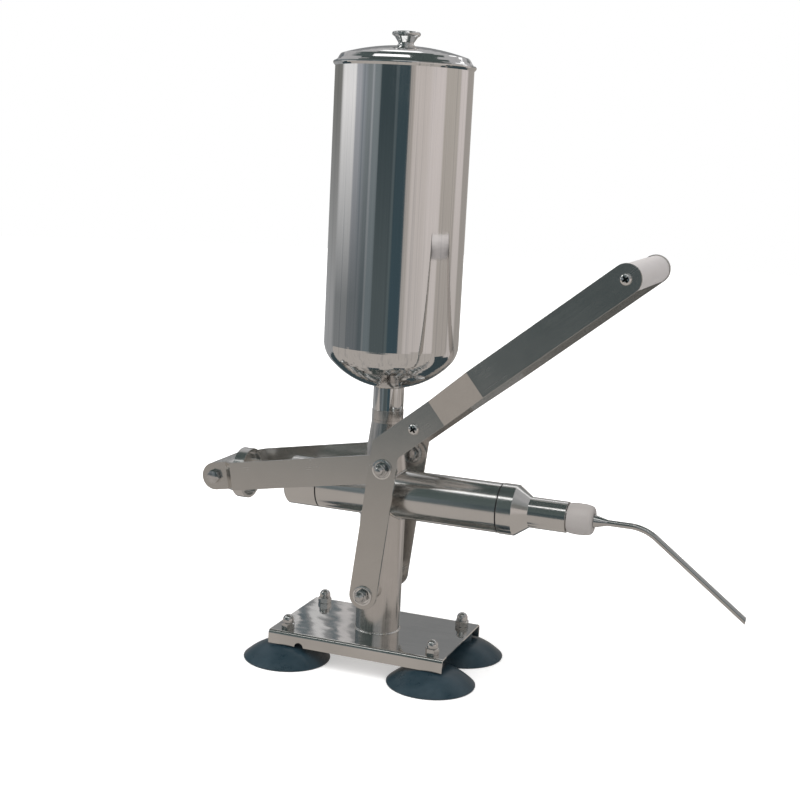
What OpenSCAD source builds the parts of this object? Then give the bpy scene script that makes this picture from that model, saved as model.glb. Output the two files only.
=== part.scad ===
// Hand-lever cream filler for doughnuts: a hopper feeds a horizontal pump barrel, and a forked
// lever drives the piston through two link bars, so that a measured dose leaves the needle.
// Millimetres. X runs along the barrel towards the needle, Z is up, and Z = 0 is the table.

/* [Base plate and feet] */
// Length of the base plate
base_len = 196; // [186:1:230]
// Width of the base plate
base_wid = 128; // [120:1:150]
// Thickness of the sheet
sheet_t = 2; // [1.5:0.1:3]
// Depth of the folded long edges
flange_h = 14.5; // [10:0.5:16]
// Outer radius of the folds
bend_r = 4; // [3:0.5:6]
// How far the plate's middle lies behind the column
base_back = 1.5; // [0:0.5:6]
// Spacing of the feet along the plate
foot_dx = 164; // [156:1:172]
// Spacing of the feet across the plate
foot_dy = 98; // [94:1:104]
// Diameter of a suction cup
cup_od = 93; // [84:1:94]
// Height of a suction cup
cup_h = 30.5; // [28:0.5:36]
// Diameter of the stud in a cup
stud_d = 8; // [6:0.5:8]
// Radius of the notch in the near fold
notch_r = 5; // [3:0.5:6]
// Distance of the notch behind the column
notch_back = 64; // [50:1:75]

/* [Column] */
// Distance of the column behind the middle of the whole machine
column_back = 92.5; // [85:0.5:110]
// Outer diameter of the column
column_od = 48; // [44:0.5:50]
// Wall of the column
column_wall = 2; // [1.5:0.1:3]

/* [Pump barrel] */
// Height of the barrel's axis above the table
barrel_z = 183.5; // [178:0.5:190]
// Outer diameter of the barrel
barrel_od = 52; // [51:0.5:54]
// Bore of the barrel
barrel_bore = 48; // [46:0.5:48.5]
// Length of the barrel behind the column's axis
barrel_back = 68.5; // [64:0.5:74]
// Length of the barrel in front of the column's axis
barrel_front = 130.5; // [122:0.5:140]
// Length of the rear cap outside the barrel
rear_cap_len = 36.5; // [30:0.5:38]
// How far each cap is screwed into the barrel
spigot_len = 12; // [9:0.5:14]
// Diameter of the parallel part of the front cap
front_cap_od = 53; // [52:0.5:56]
// Length of the parallel part of the front cap
front_cap_len = 15.5; // [13:0.5:22]
// Length of the cone of the front cap
front_cone_len = 15; // [12:0.5:20]
// Diameter of the front cap's outlet tube
outlet_od = 32; // [30:0.5:34]
// Length of the outlet tube
outlet_len = 39; // [36:0.5:46]
// Thickness of the O-ring between the barrel and each cap
oring_t = 1.5; // [1:0.1:2]

/* [Piston] */
// Diameter of the piston rod
rod_d = 14; // [12:0.5:16]
// Length of the piston
piston_len = 44; // [40:0.5:46]
// Distance from the piston's end faces to its seals
seal_edge = 8; // [6:0.5:10]
// Rear end of the exposed rod: crosshead axis behind the column's axis
crosshead_back = 184; // [182:0.5:188]
// Diameter of the crosshead
crosshead_d = 30; // [28:0.5:30]
// Outer diameter of the stroke stop cup
stop_od = 55; // [53:0.5:58]
// Length of the stroke stop cup
stop_len = 12; // [10:0.5:13]
// Wall of the stroke stop cup's rim
stop_wall = 3; // [2:0.25:4]

/* [Lever and links] */
// Height of the lever's pivot above the table
pivot_z = 81.5; // [76:0.5:86]
// Width of the lever's and the links' flat bar
bar_w = 30; // [28:0.5:32]
// Thickness of the flat bar
bar_t = 3; // [2.5:0.1:4]
// Width of the lever over its plates at the pivot
lever_w = 97; // [94:1:102]
// Width of the lever over its plates at the grip
grip_w = 150; // [148:1:160]
// Lean of the lower arm from upright, towards the needle
lower_lean = 6.2; // [4:0.1:8]
// Length of the lower arm, from pivot to elbow
lower_len = 160; // [156:1:164]
// Rise of the upper arm above level
upper_rise = 39.2; // [37:0.1:41]
// Length of the upper arm, from elbow to grip
upper_len = 309; // [290:1:330]
// Distance from the pivot to the link bolts
link_bolt_up = 138.5; // [137:0.1:140]
// Distance from the elbow to where the fork begins to splay
splay_from = 69; // [60:1:80]
// Distance from the elbow to where the fork is at full width
splay_to = 129; // [115:1:145]
// Distance from the elbow to the tie rod
tie_from = 38.6; // [32:0.1:48]
// Diameter of the tie rod
tie_d = 12; // [10:0.5:14]
// Diameter of the grip
grip_d = 28; // [26:0.5:30]
// Width over the link tabs at the crosshead
tab_w = 70; // [66:0.5:74]
// How far a link bar reaches past its bolt
link_over = 0; // [0:0.5:8]
// Clearance round the bolt in a link bar's front hole
link_play = 1.8; // [1.7:0.1:2.2]
// Outer diameter of the pivot tube
pivot_tube_od = 22; // [18:0.5:26]

/* [Fasteners] */
// Thread of the pivot, link and crosshead bolts
bolt_d = 8; // [7:0.5:9]
// Width across flats of their heads and nuts
bolt_af = 13; // [12:0.5:14]
// Thread of the crosshead bolts inside the crosshead
cross_thread = 20; // [14:1:26]
// Height of their heads
head_h = 5.3; // [4.5:0.1:6.5]
// Height of their nuts
nut_h = 6.5; // [5.5:0.5:8]
// Diameter of their washers
washer_d = 21; // [19:0.5:24]
// Thickness of their washers
washer_t = 2; // [1.5:0.1:2.5]
// Thread that stands out of a nut
thread_out = 4.5; // [1.5:0.5:6]
// Thread of the cross-head screws
screw_d = 6; // [5:0.5:6]
// Diameter of their heads
screw_head_d = 11.5; // [10:0.5:13]
// Width across flats of the cap nuts
cap_nut_af = 13; // [12.5:0.5:14]
// Height of the cap nuts
cap_nut_h = 15; // [13:0.5:16]

/* [Hopper and lid] */
// Inner diameter of the hopper
hopper_bore_d = 139; // [134:1:146]
// Wall of the hopper, lid and neck
wall = 1; // [0.8:0.1:1.5]
// Height of the hopper's straight wall
hopper_straight = 279; // [220:1:300]
// Depth of the dished bottom
dish_h = 48; // [44:1:56]
// Knuckle radius of the dished bottom
knuckle_r = 30; // [24:1:36]
// Diameter of the hopper's outlet tube
outlet_tube_d = 32.6; // [32:0.2:35]
// Diameter of the union
union_od = 33.4; // [32:0.2:37]
// Bore of the way from the hopper to the barrel
feed_bore = 24; // [20:0.5:24.5]
// Length of the outlet tube above the union
outlet_tube_len = 24; // [18:0.5:30]
// Height of the union
union_h = 10.5; // [9:0.5:14]
// Height of the union's lower edge above the barrel's axis
neck_h = 79.5; // [76:0.5:84]
// Diameter of the neck where it meets the barrel
neck_foot_d = 46; // [42:0.5:47]
// How far the lid stands over the hopper's wall
lid_over = 2.1; // [1.5:0.1:3]
// Height of the lid's dome
dome_h = 10; // [8:0.5:20]
// Height of the lid's shoulder, from its seat to the dome
lid_band = 12.5; // [8:0.5:16]
// Diameter of the lid's knob
knob_d = 29; // [26:0.5:34]
// Height of the lid's knob
knob_h = 14.5; // [13:0.5:20]
// Diameter of the knob's waist
waist_d = 15.5; // [14:0.5:18]

/* [Nozzle] */
// Outer diameter of the needle
needle_d = 6.4; // [6:0.1:8]
// Bore of the needle
needle_bore = 5; // [4:0.1:5.2]
// Bend of the needle
needle_bend = 37; // [30:0.1:45]
// Radius of the bend
needle_r = 45; // [36:1:50]
// Length of the hub's cone in front of the nut
hub_len = 14; // [12:0.5:18]
// Straight needle between hub and bend
needle_straight = 23; // [18:1:28]
// Needle beyond the bend
needle_tail = 121; // [90:1:126]
// Slant of the needle's cut tip
needle_bevel = 30; // [0:1:45]
// Length of the nozzle nut
nozzle_nut_len = 26; // [24:0.5:30]
// Diameter of the nozzle nut at its middle
nozzle_nut_d = 32.4; // [32:0.2:36]
// Diameter of the outlet valve's ball
ball_d = 17; // [16:0.5:17.5]

/* [Hidden] */
$fn = 64;
fit = 0.05;          // radial play of a shaft in its hole
gap = 0.3;           // play between flat faces that slide
seal_squeeze = 0.03; // play that a seal's lip leaves in the bore
big = 400;

plate_z = cup_h + sheet_t;
barrel_r = barrel_od / 2;
bore_r = barrel_bore / 2;
column_r = column_od / 2;

// stations along the barrel
x_rear = -barrel_back;
x_rear_cap = x_rear - oring_t;
x_cap_end = x_rear_cap - rear_cap_len;
x_front = barrel_front;
x_cap = x_front + oring_t;
x_cone = x_cap + front_cap_len;
x_tube = x_cone + front_cone_len;
x_tube_end = x_tube + outlet_len;
outlet_r = outlet_od / 2;

// piston group
x_crosshead = -crosshead_back;
x_piston = x_rear + spigot_len + gap;
x_piston_end = x_piston + piston_len;
rod_r = rod_d / 2;
piston_r = bore_r - fit;
bush_d = rod_d + 8;
bush_len = 22;
rod_seal_w = 4;
piston_nut_h = 8;
rod_thread_d = 10;

// lever: the pivot, elbow and grip in the X-Z plane
p_pivot = [0, pivot_z];
p_elbow = p_pivot + lower_len * [sin(lower_lean), cos(lower_lean)];
p_grip = p_elbow + upper_len * [cos(upper_rise), sin(upper_rise)];
p_link = p_pivot + link_bolt_up * [sin(lower_lean), cos(lower_lean)];
p_tie = p_elbow + tie_from * [cos(upper_rise), sin(upper_rise)];
lever_in = lever_w / 2 - bar_t;
grip_in = grip_w / 2 - bar_t;
bolt_r = bolt_d / 2;

// links: from the crosshead bolt to the link bolt
p_cross = [x_crosshead, barrel_z];
link_vec = p_link - p_cross;
link_len = norm(link_vec);
link_rise = atan2(link_vec[1], link_vec[0]);
link_out = lever_in - gap;
link_in = link_out - bar_t;
tab_in = tab_w / 2 - bar_t;

// fasteners
screw_r = screw_d / 2;
knob_screw_r = 2.5;
knob_screw_len = 7;
screw_head_h = 3.6;
screw_len = 22;
nut_seat = lever_w / 2 + washer_t;
lever_nut_end = nut_seat + nut_h;

// hopper
hopper_r = hopper_bore_d / 2 + wall;
z_union = barrel_z + neck_h;
z_outlet = z_union + union_h;
z_dish = z_outlet + outlet_tube_len;
z_knuckle = z_dish + dish_h - wall;
z_rim = z_knuckle + hopper_straight;
union_r = union_od / 2;
outlet_tube_r = outlet_tube_d / 2;
feed_r = feed_bore / 2;
spigot_r = feed_r + 1.5;
gasket_t = 1.2;
lid_r = hopper_r + lid_over;
z_dome = z_rim + lid_band;
z_lid_top = z_dome + dome_h;

// outlet valve
seat_r = ball_d / 2 - 1.5;
x_seat = x_tube + 3;
chamber_r = ball_d / 2 + 2.7;
x_ball = x_seat + sqrt(pow(ball_d / 2, 2) - pow(seat_r, 2)) + gap;
retainer_t = 2.5;
nozzle_spigot_r = outlet_r - 3;
nozzle_spigot_len = 15;
x_spigot_end = x_tube_end + nozzle_spigot_len;
x_retainer = x_spigot_end - retainer_t - 1;
spring_wire = 1.2;
spring_turns = 6;
coil_r = ball_d / 2 - 3;

// nozzle
x_nut = x_tube_end + 1;
x_nut_end = x_nut + nozzle_nut_len;
x_flange = x_spigot_end + gasket_t;
flange_t = 2.5;
hub_r = 6.5;
x_hub_end = x_nut_end + hub_len;
x_bend = x_hub_end + needle_straight;

// ---------- helpers ----------

// the pieces are placed round the column, which stands behind the middle of the machine
module at_column() {
    translate([-column_back, 0, 0]) children();
}

// turns a revolve or an outline from Z to lie along +X
module along_x(x = 0) {
    translate([x, 0, barrel_z]) rotate([0, 90, 0]) children();
}

// extrudes an X-Z outline from y = from to y = to
module slab(from, to) {
    rotate([90, 0, 0]) translate([0, 0, -to]) linear_extrude(to - from) children();
}

// puts a piece that points along +Z on both sides of the machine, pointing outwards
module both_sides(p, y) {
    for (side = [-1, 1])
        translate([p[0], side * y, p[1]]) rotate([-90 * side, 0, 0]) children();
}

// round bar outline between two points
module bar_outline(a, b, w) {
    d = b - a;
    translate(a) circle(d = w);
    translate(b) circle(d = w);
    translate(a) rotate(atan2(d[1], d[0])) translate([0, -w / 2]) square([norm(d), w]);
}

module hex(af, h) {
    cylinder(d = af / cos(30), h = h, $fn = 6);
}

module washer(h = washer_t) {
    difference() {
        cylinder(d = washer_d, h = h);
        translate([0, 0, -1]) cylinder(r = bolt_r + fit, h = h + 2);
    }
}

module hex_nut(af, h, d) {
    difference() {
        intersection() {
            hex(af, h);
            cylinder(d1 = 2 * af, d2 = af * 1.02, h = h * 1.001);
        }
        translate([0, 0, -1]) cylinder(r = d / 2 + fit, h = h + 2);
    }
}

// hex bolt: the head's seat is at Z = 0, the head is above and the shank below
module hex_bolt(len) {
    hex(bolt_af, head_h);
    translate([0, 0, -len]) cylinder(d = bolt_d, h = len);
}

// pan head screw with a cross recess: the seat is at Z = 0, the shank points down
module pan_screw(len) {
    difference() {
        union() {
            cylinder(d = screw_head_d, h = screw_head_h * 0.5);
            translate([0, 0, screw_head_h * 0.5])
                cylinder(d1 = screw_head_d, d2 = screw_head_d * 0.62, h = screw_head_h * 0.5);
        }
        for (a = [0, 90])
            rotate(a) translate([-screw_d / 2, -0.7, screw_head_h - 2])
                cube([screw_d, 1.4, 3]);
    }
    translate([0, 0, -len]) cylinder(d = screw_d, h = len);
}

// outline of a bar bent in its plane at b, with round ends at a and c and a mitred elbow
module bent_bar_outline(a, b, c, w) {
    u = (b - a) / norm(b - a);
    v = (c - b) / norm(c - b);
    m = [[-u[1], u[0]], [-v[1], v[0]]] * (w / 2);
    mitre = (m[0] + m[1]) * (w * w / 2) / pow(norm(m[0] + m[1]), 2);
    translate(a) circle(d = w);
    translate(c) circle(d = w);
    polygon([a - m[0], b - mitre, c - m[1], c + m[1], b + mitre, a + m[0]]);
}

// plan of a joggled strip: along u, inner face at y0 up to u1, then at y1 from u2 on
module strip_plan(u0, u1, u2, u3, y0, y1, t) {
    k = t * tan(atan2(y1 - y0, u2 - u1) / 2);
    polygon([[u0, y0], [u1, y0], [u2, y1], [u3, y1], [u3, y1 + t], [u2 - k, y1 + t],
             [u1 - k, y0 + t], [u0, y0 + t]]);
}

// ---------- base and feet ----------

module at_feet(z) {
    for (sx = [-1, 1], sy = [-1, 1])
        translate([sx * foot_dx / 2 - base_back, sy * foot_dy / 2, z]) children();
}

module base_plate() {
    half = base_wid / 2;
    color([0.62, 0.62, 0.6]) at_column()
    difference() {
        translate([-base_len / 2 - base_back, 0, 0]) rotate([90, 0, 90])
            linear_extrude(base_len) difference() {
                union() {
                    translate([-half + bend_r, plate_z - flange_h])
                        square([base_wid - 2 * bend_r, flange_h]);
                    for (s = [-1, 1]) translate([s * (half - bend_r), plate_z - bend_r])
                        circle(r = bend_r);
                    translate([-half, plate_z - flange_h])
                        square([base_wid, flange_h - bend_r]);
                }
                translate([-half + bend_r, -1])
                    square([base_wid - 2 * bend_r, plate_z - sheet_t + 1]);
                for (s = [-1, 1]) translate([s * (half - bend_r), plate_z - bend_r])
                    circle(r = bend_r - sheet_t);
                translate([-half + sheet_t, -1])
                    square([base_wid - 2 * sheet_t, plate_z - bend_r + 1]);
            }
        at_feet(0) cylinder(r = stud_d / 2 + fit, h = plate_z + 1);
        translate([-notch_back, -half - 1, plate_z - flange_h]) rotate([-90, 0, 0])
            cylinder(r = notch_r, h = sheet_t + 2);
    }
}

// the cup's neck stands inside the fold, and its dome starts below the fold's lower edge
module suction_cups() {
    r = cup_od / 2;
    neck_r = base_wid / 2 - sheet_t - foot_dy / 2 - 1;
    top = plate_z - flange_h - 0.5;
    lip = 1.2;
    steps = 14;
    dome = [for (i = [0:steps]) let (u = i / steps)
        [neck_r + (r - neck_r) * u, lip + (top - lip) * (1 - pow(u, 1.9))]];
    hollow = [for (i = [0:steps / 2]) let (u = 1 - 2 * i / steps)
        [(r - 2.5) * u, top * 0.66 * (1 - pow(u, 2))]];
    color([0.2, 0.26, 0.31]) at_column()
    at_feet(0) rotate_extrude()
        polygon(concat([[0, cup_h], [neck_r, cup_h]], dome, [[r - 0.5, 0]], hollow));
}

module cup_studs() {
    color([0.7, 0.7, 0.7]) at_column()
    at_feet(cup_h) cylinder(d = stud_d, h = sheet_t + cap_nut_h * 0.55);
}

module cap_nuts() {
    hex_h = cap_nut_h * 0.43;
    dome_r = cap_nut_af * 0.47;
    color([0.82, 0.82, 0.82]) at_column()
    at_feet(plate_z) difference() {
        union() {
            hex(cap_nut_af, hex_h);
            cylinder(r = dome_r, h = cap_nut_h - dome_r);
            translate([0, 0, cap_nut_h - dome_r]) sphere(r = dome_r);
        }
        translate([0, 0, -1]) cylinder(r = stud_d / 2 + fit, h = cap_nut_h * 0.6 + 1);
    }
}

// ---------- column and barrel ----------

module column() {
    color([0.66, 0.66, 0.65]) at_column()
    difference() {
        translate([0, 0, plate_z]) cylinder(r = column_r, h = barrel_z - plate_z);
        translate([0, 0, plate_z - 1])
            cylinder(r = column_r - column_wall, h = barrel_z);
        along_x(-column_od) cylinder(r = barrel_r, h = 2 * column_od);
        translate([0, column_od, pivot_z]) rotate([90, 0, 0])
            cylinder(d = pivot_tube_od, h = 2 * column_od);
    }
}

module pivot_tube() {
    len = 2 * (lever_in - gap);
    color([0.6, 0.6, 0.6]) at_column()
    translate([0, len / 2, pivot_z]) rotate([90, 0, 0]) difference() {
        cylinder(d = pivot_tube_od, h = len);
        translate([0, 0, -1]) cylinder(r = bolt_r + fit, h = len + 2);
    }
}

module barrel() {
    color([0.66, 0.66, 0.65]) at_column()
    difference() {
        along_x(x_rear) difference() {
            cylinder(r = barrel_r, h = x_front - x_rear);
            translate([0, 0, -1]) cylinder(r = bore_r, h = x_front - x_rear + 2);
        }
        translate([0, 0, barrel_z]) cylinder(r = feed_r, h = barrel_od);
    }
}

module neck() {
    top_r = union_r;
    color([0.62, 0.62, 0.6]) at_column()
    difference() {
        translate([0, 0, barrel_z])
            rotate_extrude() polygon([[feed_r, 0], [neck_foot_d / 2, 0],
                [neck_foot_d / 2, bore_r], [top_r, neck_h - 3], [top_r, neck_h], [feed_r, neck_h]]);
        along_x(-column_od) cylinder(r = barrel_r, h = 2 * column_od);
    }
}

module rear_cap() {
    ch = 1.5;
    len = rear_cap_len + oring_t + spigot_len;
    color([0.6, 0.6, 0.59]) at_column()
    along_x(x_cap_end) difference() {
        union() {
            cylinder(r1 = barrel_r - ch, r2 = barrel_r, h = ch);
            translate([0, 0, ch]) cylinder(r = barrel_r, h = rear_cap_len - ch);
            cylinder(r = bore_r - fit, h = len);
        }
        translate([0, 0, -1]) cylinder(r = rod_r + 1, h = len + 2);
        translate([0, 0, len - bush_len - rod_seal_w])
            cylinder(d = bush_d, h = len);
    }
}

module rod_bush() {
    color([0.9, 0.88, 0.84]) at_column()
    along_x(x_rear + spigot_len - bush_len) difference() {
        cylinder(r = bush_d / 2 - fit, h = bush_len - 0.5);
        translate([0, 0, -1]) cylinder(r = rod_r + fit, h = bush_len + 2);
    }
}

module rod_seal() {
    color([0.1, 0.1, 0.1]) at_column()
    along_x(x_rear + spigot_len - bush_len - rod_seal_w) difference() {
        cylinder(r = bush_d / 2 - fit, h = rod_seal_w);
        translate([0, 0, -1]) cylinder(r = rod_r + fit, h = rod_seal_w + 2);
    }
}

module o_ring(x) {
    color([0.08, 0.08, 0.08]) at_column()
    along_x(x) difference() {
        cylinder(r = barrel_r - 0.6, h = oring_t);
        translate([0, 0, -1]) cylinder(r = bore_r, h = oring_t + 2);
    }
}

module rear_o_ring() {
    o_ring(x_rear_cap);
}

module front_o_ring() {
    o_ring(x_front);
}

module front_cap() {
    cap_r = front_cap_od / 2;
    mouth_r = bore_r - 4;
    color([0.68, 0.68, 0.67]) at_column()
    along_x() rotate_extrude() polygon([
        [mouth_r, x_front - spigot_len], [bore_r - fit, x_front - spigot_len],
        [bore_r - fit, x_cap], [cap_r, x_cap], [cap_r, x_cone], [outlet_r, x_tube],
        [outlet_r, x_tube_end], [nozzle_spigot_r, x_tube_end], [nozzle_spigot_r, x_spigot_end],
        [chamber_r, x_spigot_end], [chamber_r, x_seat], [seat_r, x_seat],
        [seat_r, x_seat - 3], [mouth_r, x_cone - 3]]);
}

// ---------- outlet valve ----------

module valve_ball() {
    color([0.75, 0.75, 0.76]) at_column()
    along_x(x_ball) sphere(d = ball_d);
}

module valve_spring() {
    x0 = x_ball + sqrt(pow(ball_d / 2, 2) - pow(coil_r, 2)) + spring_wire / 2 + gap;
    x1 = x_retainer - spring_wire / 2;
    steps = 14 * spring_turns;
    sides = 6;
    ring = function (i) let (a = 360 * spring_turns * i / steps, x = x0 + (x1 - x0) * i / steps)
        [for (s = [0:sides - 1]) let (b = 360 * s / sides,
            q = coil_r + spring_wire / 2 * cos(b))
            [x + spring_wire / 2 * sin(b), q * cos(a), barrel_z + q * sin(a)]];
    points = [for (i = [0:steps]) each ring(i)];
    walls = [for (i = [0:steps - 1], s = [0:sides - 1]) let (t = (s + 1) % sides, a = i * sides)
        each [[a + s, a + sides + s, a + sides + t], [a + s, a + sides + t, a + t]]];
    start = [for (s = [1:sides - 2]) [0, s, s + 1]];
    last = steps * sides;
    end = [for (s = [1:sides - 2]) [last, last + s + 1, last + s]];
    color([0.7, 0.7, 0.7]) at_column() polyhedron(points, concat(walls, start, end));
}

module valve_retainer() {
    color([0.65, 0.65, 0.65]) at_column()
    along_x(x_retainer) difference() {
        cylinder(r = chamber_r - fit, h = retainer_t);
        translate([0, 0, -1]) cylinder(r = coil_r - 2, h = retainer_t + 2);
    }
}

// ---------- nozzle ----------

module nozzle_gasket() {
    color([0.85, 0.3, 0.2]) at_column()
    along_x(x_spigot_end) difference() {
        cylinder(r = nozzle_spigot_r, h = gasket_t);
        translate([0, 0, -1]) cylinder(r = chamber_r, h = gasket_t + 2);
    }
}

module nozzle_nut() {
    r_mid = nozzle_nut_d / 2;
    r_in = nozzle_spigot_r + fit;
    x_shelf = x_flange + flange_t;
    color([0.93, 0.92, 0.9]) at_column()
    along_x() rotate_extrude() polygon([
        [r_in, x_nut], [r_mid - 1.3, x_nut], [r_mid - 0.5, x_nut + 3], [r_mid, x_nut + 9],
        [r_mid - 0.2, x_nut_end - 9], [r_mid - 1, x_nut_end - 4],
        [r_mid - 2, x_nut_end - 1.6], [r_mid - 3.6, x_nut_end - 0.3], [r_mid - 4.6, x_nut_end],
        [hub_r + 0.6, x_nut_end], [hub_r + 1.6, x_shelf + fit], [r_in, x_shelf + fit]]);
}

// the needle's round path; the bend is a little fuller than the straight tube at its ends
module needle_run(r) {
    lap = 1;
    straight_r = r - 0.05;
    along_x(x_hub_end - 1) cylinder(r = straight_r, h = needle_straight + 1 + lap);
    translate([x_bend, 0, barrel_z - needle_r]) rotate([90, 0, 0]) rotate(90 - needle_bend)
        rotate_extrude(angle = needle_bend) translate([needle_r, 0]) circle(r = r);
    at_needle_tail() translate([0, 0, -lap]) cylinder(r = straight_r, h = needle_tail + lap);
}

// origin at the end of the bend, with Z along the tail
module at_needle_tail() {
    translate([x_bend + needle_r * sin(needle_bend), 0,
               barrel_z - needle_r * (1 - cos(needle_bend))])
        rotate([0, 90 + needle_bend, 0]) children();
}

module needle_nozzle() {
    n_r = needle_d / 2;
    b_r = needle_bore / 2;
    x_shelf = x_flange + flange_t;
    cut = 4 * needle_d;
    color([0.7, 0.7, 0.7]) at_column()
    difference() {
        union() {
            along_x() rotate_extrude() polygon([
                [0, x_flange], [nozzle_spigot_r - fit, x_flange],
                [nozzle_spigot_r - fit, x_shelf], [hub_r + 0.5, x_shelf], [hub_r, x_nut_end + 1],
                [n_r, x_hub_end], [0, x_hub_end]]);
            needle_run(n_r);
        }
        along_x() rotate_extrude() polygon([
            [0, x_flange - 1], [hub_r - 2, x_flange - 1], [hub_r - 2, x_flange],
            [b_r, x_flange + 8], [b_r, x_hub_end], [0, x_hub_end]]);
        needle_run(b_r);
        at_needle_tail() translate([0, 0, needle_tail]) rotate([0, -needle_bevel, 0])
            translate([-cut / 2, -cut / 2, -needle_d / 2]) cube(cut);
    }
}

// ---------- hopper and lid ----------

// dished bottom: crown and knuckle arcs that meet with a common tangent, and end at feed_r
function dish(r, depth, kr) =
    let (
        cr = (pow(r - kr, 2) + pow(depth, 2) - pow(kr, 2)) / (2 * (depth - kr)),
        a = asin((r - kr) / (cr - kr)))
    [cr, a];

function dish_points(r, depth, kr, z_tan, r_end, n = 12) =
    let (d = dish(r, depth, kr), cr = d[0], a = d[1], zc = z_tan - depth + cr,
         a_end = asin(r_end / cr))
    concat(
        [for (i = [0:n]) let (t = a_end + (a - a_end) * i / n)
            [cr * sin(t), zc - cr * cos(t)]],
        [for (i = [1:n]) let (t = a + (90 - a) * i / n)
            [r - kr + kr * sin(t), z_tan - kr * cos(t)]]);

module union_ring() {
    color([0.7, 0.7, 0.69]) at_column()
    translate([0, 0, z_union]) difference() {
        cylinder(r = union_r, h = union_h);
        translate([0, 0, -1]) cylinder(r = spigot_r + fit, h = union_h + 2);
    }
}

module hopper_gasket() {
    color([0.9, 0.9, 0.88]) at_column()
    translate([0, 0, z_union]) difference() {
        cylinder(r = spigot_r, h = gasket_t);
        translate([0, 0, -1]) cylinder(r = feed_r, h = gasket_t + 2);
    }
}

module hopper() {
    outer = dish_points(hopper_r, dish_h, knuckle_r, z_knuckle, outlet_tube_r);
    inner = dish_points(hopper_r - wall, dish_h - wall, knuckle_r - wall, z_knuckle, feed_r);
    n = len(inner);
    color([0.72, 0.72, 0.71]) at_column()
    rotate_extrude($fn = 96) polygon(concat(
        [[feed_r, z_union + gasket_t], [spigot_r, z_union + gasket_t], [spigot_r, z_outlet],
         [outlet_tube_r, z_outlet]],
        outer,
        [[hopper_r, z_rim], [hopper_r - wall, z_rim]],
        [for (i = [1:n]) inner[n - i]]));
}

module lid() {
    r_dome = lid_r - 8.5;
    top = function (r, d) let (cr = (r_dome * r_dome + dome_h * dome_h) / (2 * dome_h))
        z_lid_top - d - cr + sqrt(cr * cr - r * r);
    r_in = hopper_r - wall - 0.4;
    r_hole = knob_screw_r + fit;
    steps = 12;
    color([0.78, 0.78, 0.78]) at_column()
    rotate_extrude($fn = 96) polygon(concat(
        [[r_in - 1, z_rim - 6], [r_in, z_rim - 6], [r_in, z_rim], [hopper_r, z_rim],
         [lid_r - 0.7, z_rim + 1.6], [lid_r - 0.1, z_rim + 2.5], [lid_r, z_rim + 3.3],
         [lid_r - 0.1, z_rim + 4.1], [lid_r - 0.7, z_rim + 4.8], [lid_r - 1.8, z_rim + 5.2],
         [lid_r - 3.2, z_rim + 0.46 * lid_band], [lid_r - 4.6, z_rim + 0.6 * lid_band],
         [lid_r - 5.8, z_rim + 0.78 * lid_band], [lid_r - 7, z_rim + 0.93 * lid_band],
         [r_dome, z_dome]],
        [for (i = [1:steps]) let (r = r_dome + (r_hole - r_dome) * i / steps) [r, top(r, 0)]],
        [for (i = [0:steps]) let (r = r_hole + (r_dome - r_hole) * i / steps) [r, top(r, wall)]],
        [[lid_r - 6.8, z_rim + 0.7 * lid_band], [lid_r - 5.6, z_rim + 0.5 * lid_band],
         [r_in - 1, z_rim + 0.35 * lid_band]]));
}

module lid_knob() {
    r = knob_d / 2;
    w = waist_d / 2;
    z0 = z_lid_top - 0.02;
    z1 = z0 + knob_h;
    color([0.8, 0.8, 0.8]) at_column()
    difference() {
        rotate_extrude() polygon([
            [0, z0], [w + 1, z0], [w + 1, z0 + 0.8], [w + 0.2, z0 + 1.5], [w, z0 + 2.4],
            [w + 0.3, z0 + 3.4], [r - 2.6, z1 - 5.6], [r - 1.2, z1 - 4.8], [r - 0.3, z1 - 4],
            [r, z1 - 3], [r, z1 - 2.2], [r - 0.4, z1 - 1.3], [r - 1.4, z1 - 0.7],
            [r - 3.4, z1 - 0.3], [r * 0.4, z1 - 0.05], [0, z1]]);
        translate([0, 0, z0 - 1]) cylinder(r = knob_screw_r + fit, h = knob_screw_len + 1.5);
    }
}

module knob_screw() {
    seat = z_lid_top - wall - 0.1;
    color([0.7, 0.7, 0.7]) at_column()
    translate([0, 0, seat]) {
        cylinder(r = knob_screw_r, h = wall + knob_screw_len);
        translate([0, 0, -2.5]) cylinder(r = 2 * knob_screw_r, h = 2.5);
    }
}

// ---------- piston group ----------

seal_w = 4;
seal_xs = [seal_edge, piston_len - seal_edge - seal_w];
seal_depth = 3;

module piston() {
    color([0.92, 0.91, 0.88]) at_column()
    along_x(x_piston) difference() {
        cylinder(r = piston_r, h = piston_len);
        translate([0, 0, -1]) cylinder(r = rod_thread_d / 2 + fit, h = piston_len + 2);
        translate([0, 0, -1]) cylinder(r = rod_r + fit, h = 13);
        for (x = seal_xs) translate([0, 0, x]) difference() {
            cylinder(r = piston_r + 1, h = seal_w);
            translate([0, 0, -1]) cylinder(r = piston_r - seal_depth, h = seal_w + 2);
        }
    }
}

module piston_seals() {
    color([0.1, 0.1, 0.1]) at_column()
    for (x = seal_xs) along_x(x_piston + x + fit) difference() {
        cylinder(r = bore_r - seal_squeeze, h = seal_w - 2 * fit);
        translate([0, 0, -1]) cylinder(r = piston_r - seal_depth + fit, h = seal_w + 2);
    }
}

module piston_nut() {
    color([0.7, 0.7, 0.7]) at_column()
    along_x(x_piston_end) hex_nut(bolt_af, piston_nut_h, rod_thread_d);
}

module piston_rod() {
    color([0.74, 0.74, 0.74]) at_column()
    along_x() difference() {
        rotate_extrude() polygon([
            [0, x_crosshead + 2], [rod_r - 1, x_crosshead + 2], [rod_r, x_crosshead + 3],
            [rod_r, x_piston + 12], [rod_thread_d / 2, x_piston + 12],
            [rod_thread_d / 2, x_piston_end + piston_nut_h + 1], [0, x_piston_end + piston_nut_h + 1]]);
    }
}

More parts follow.
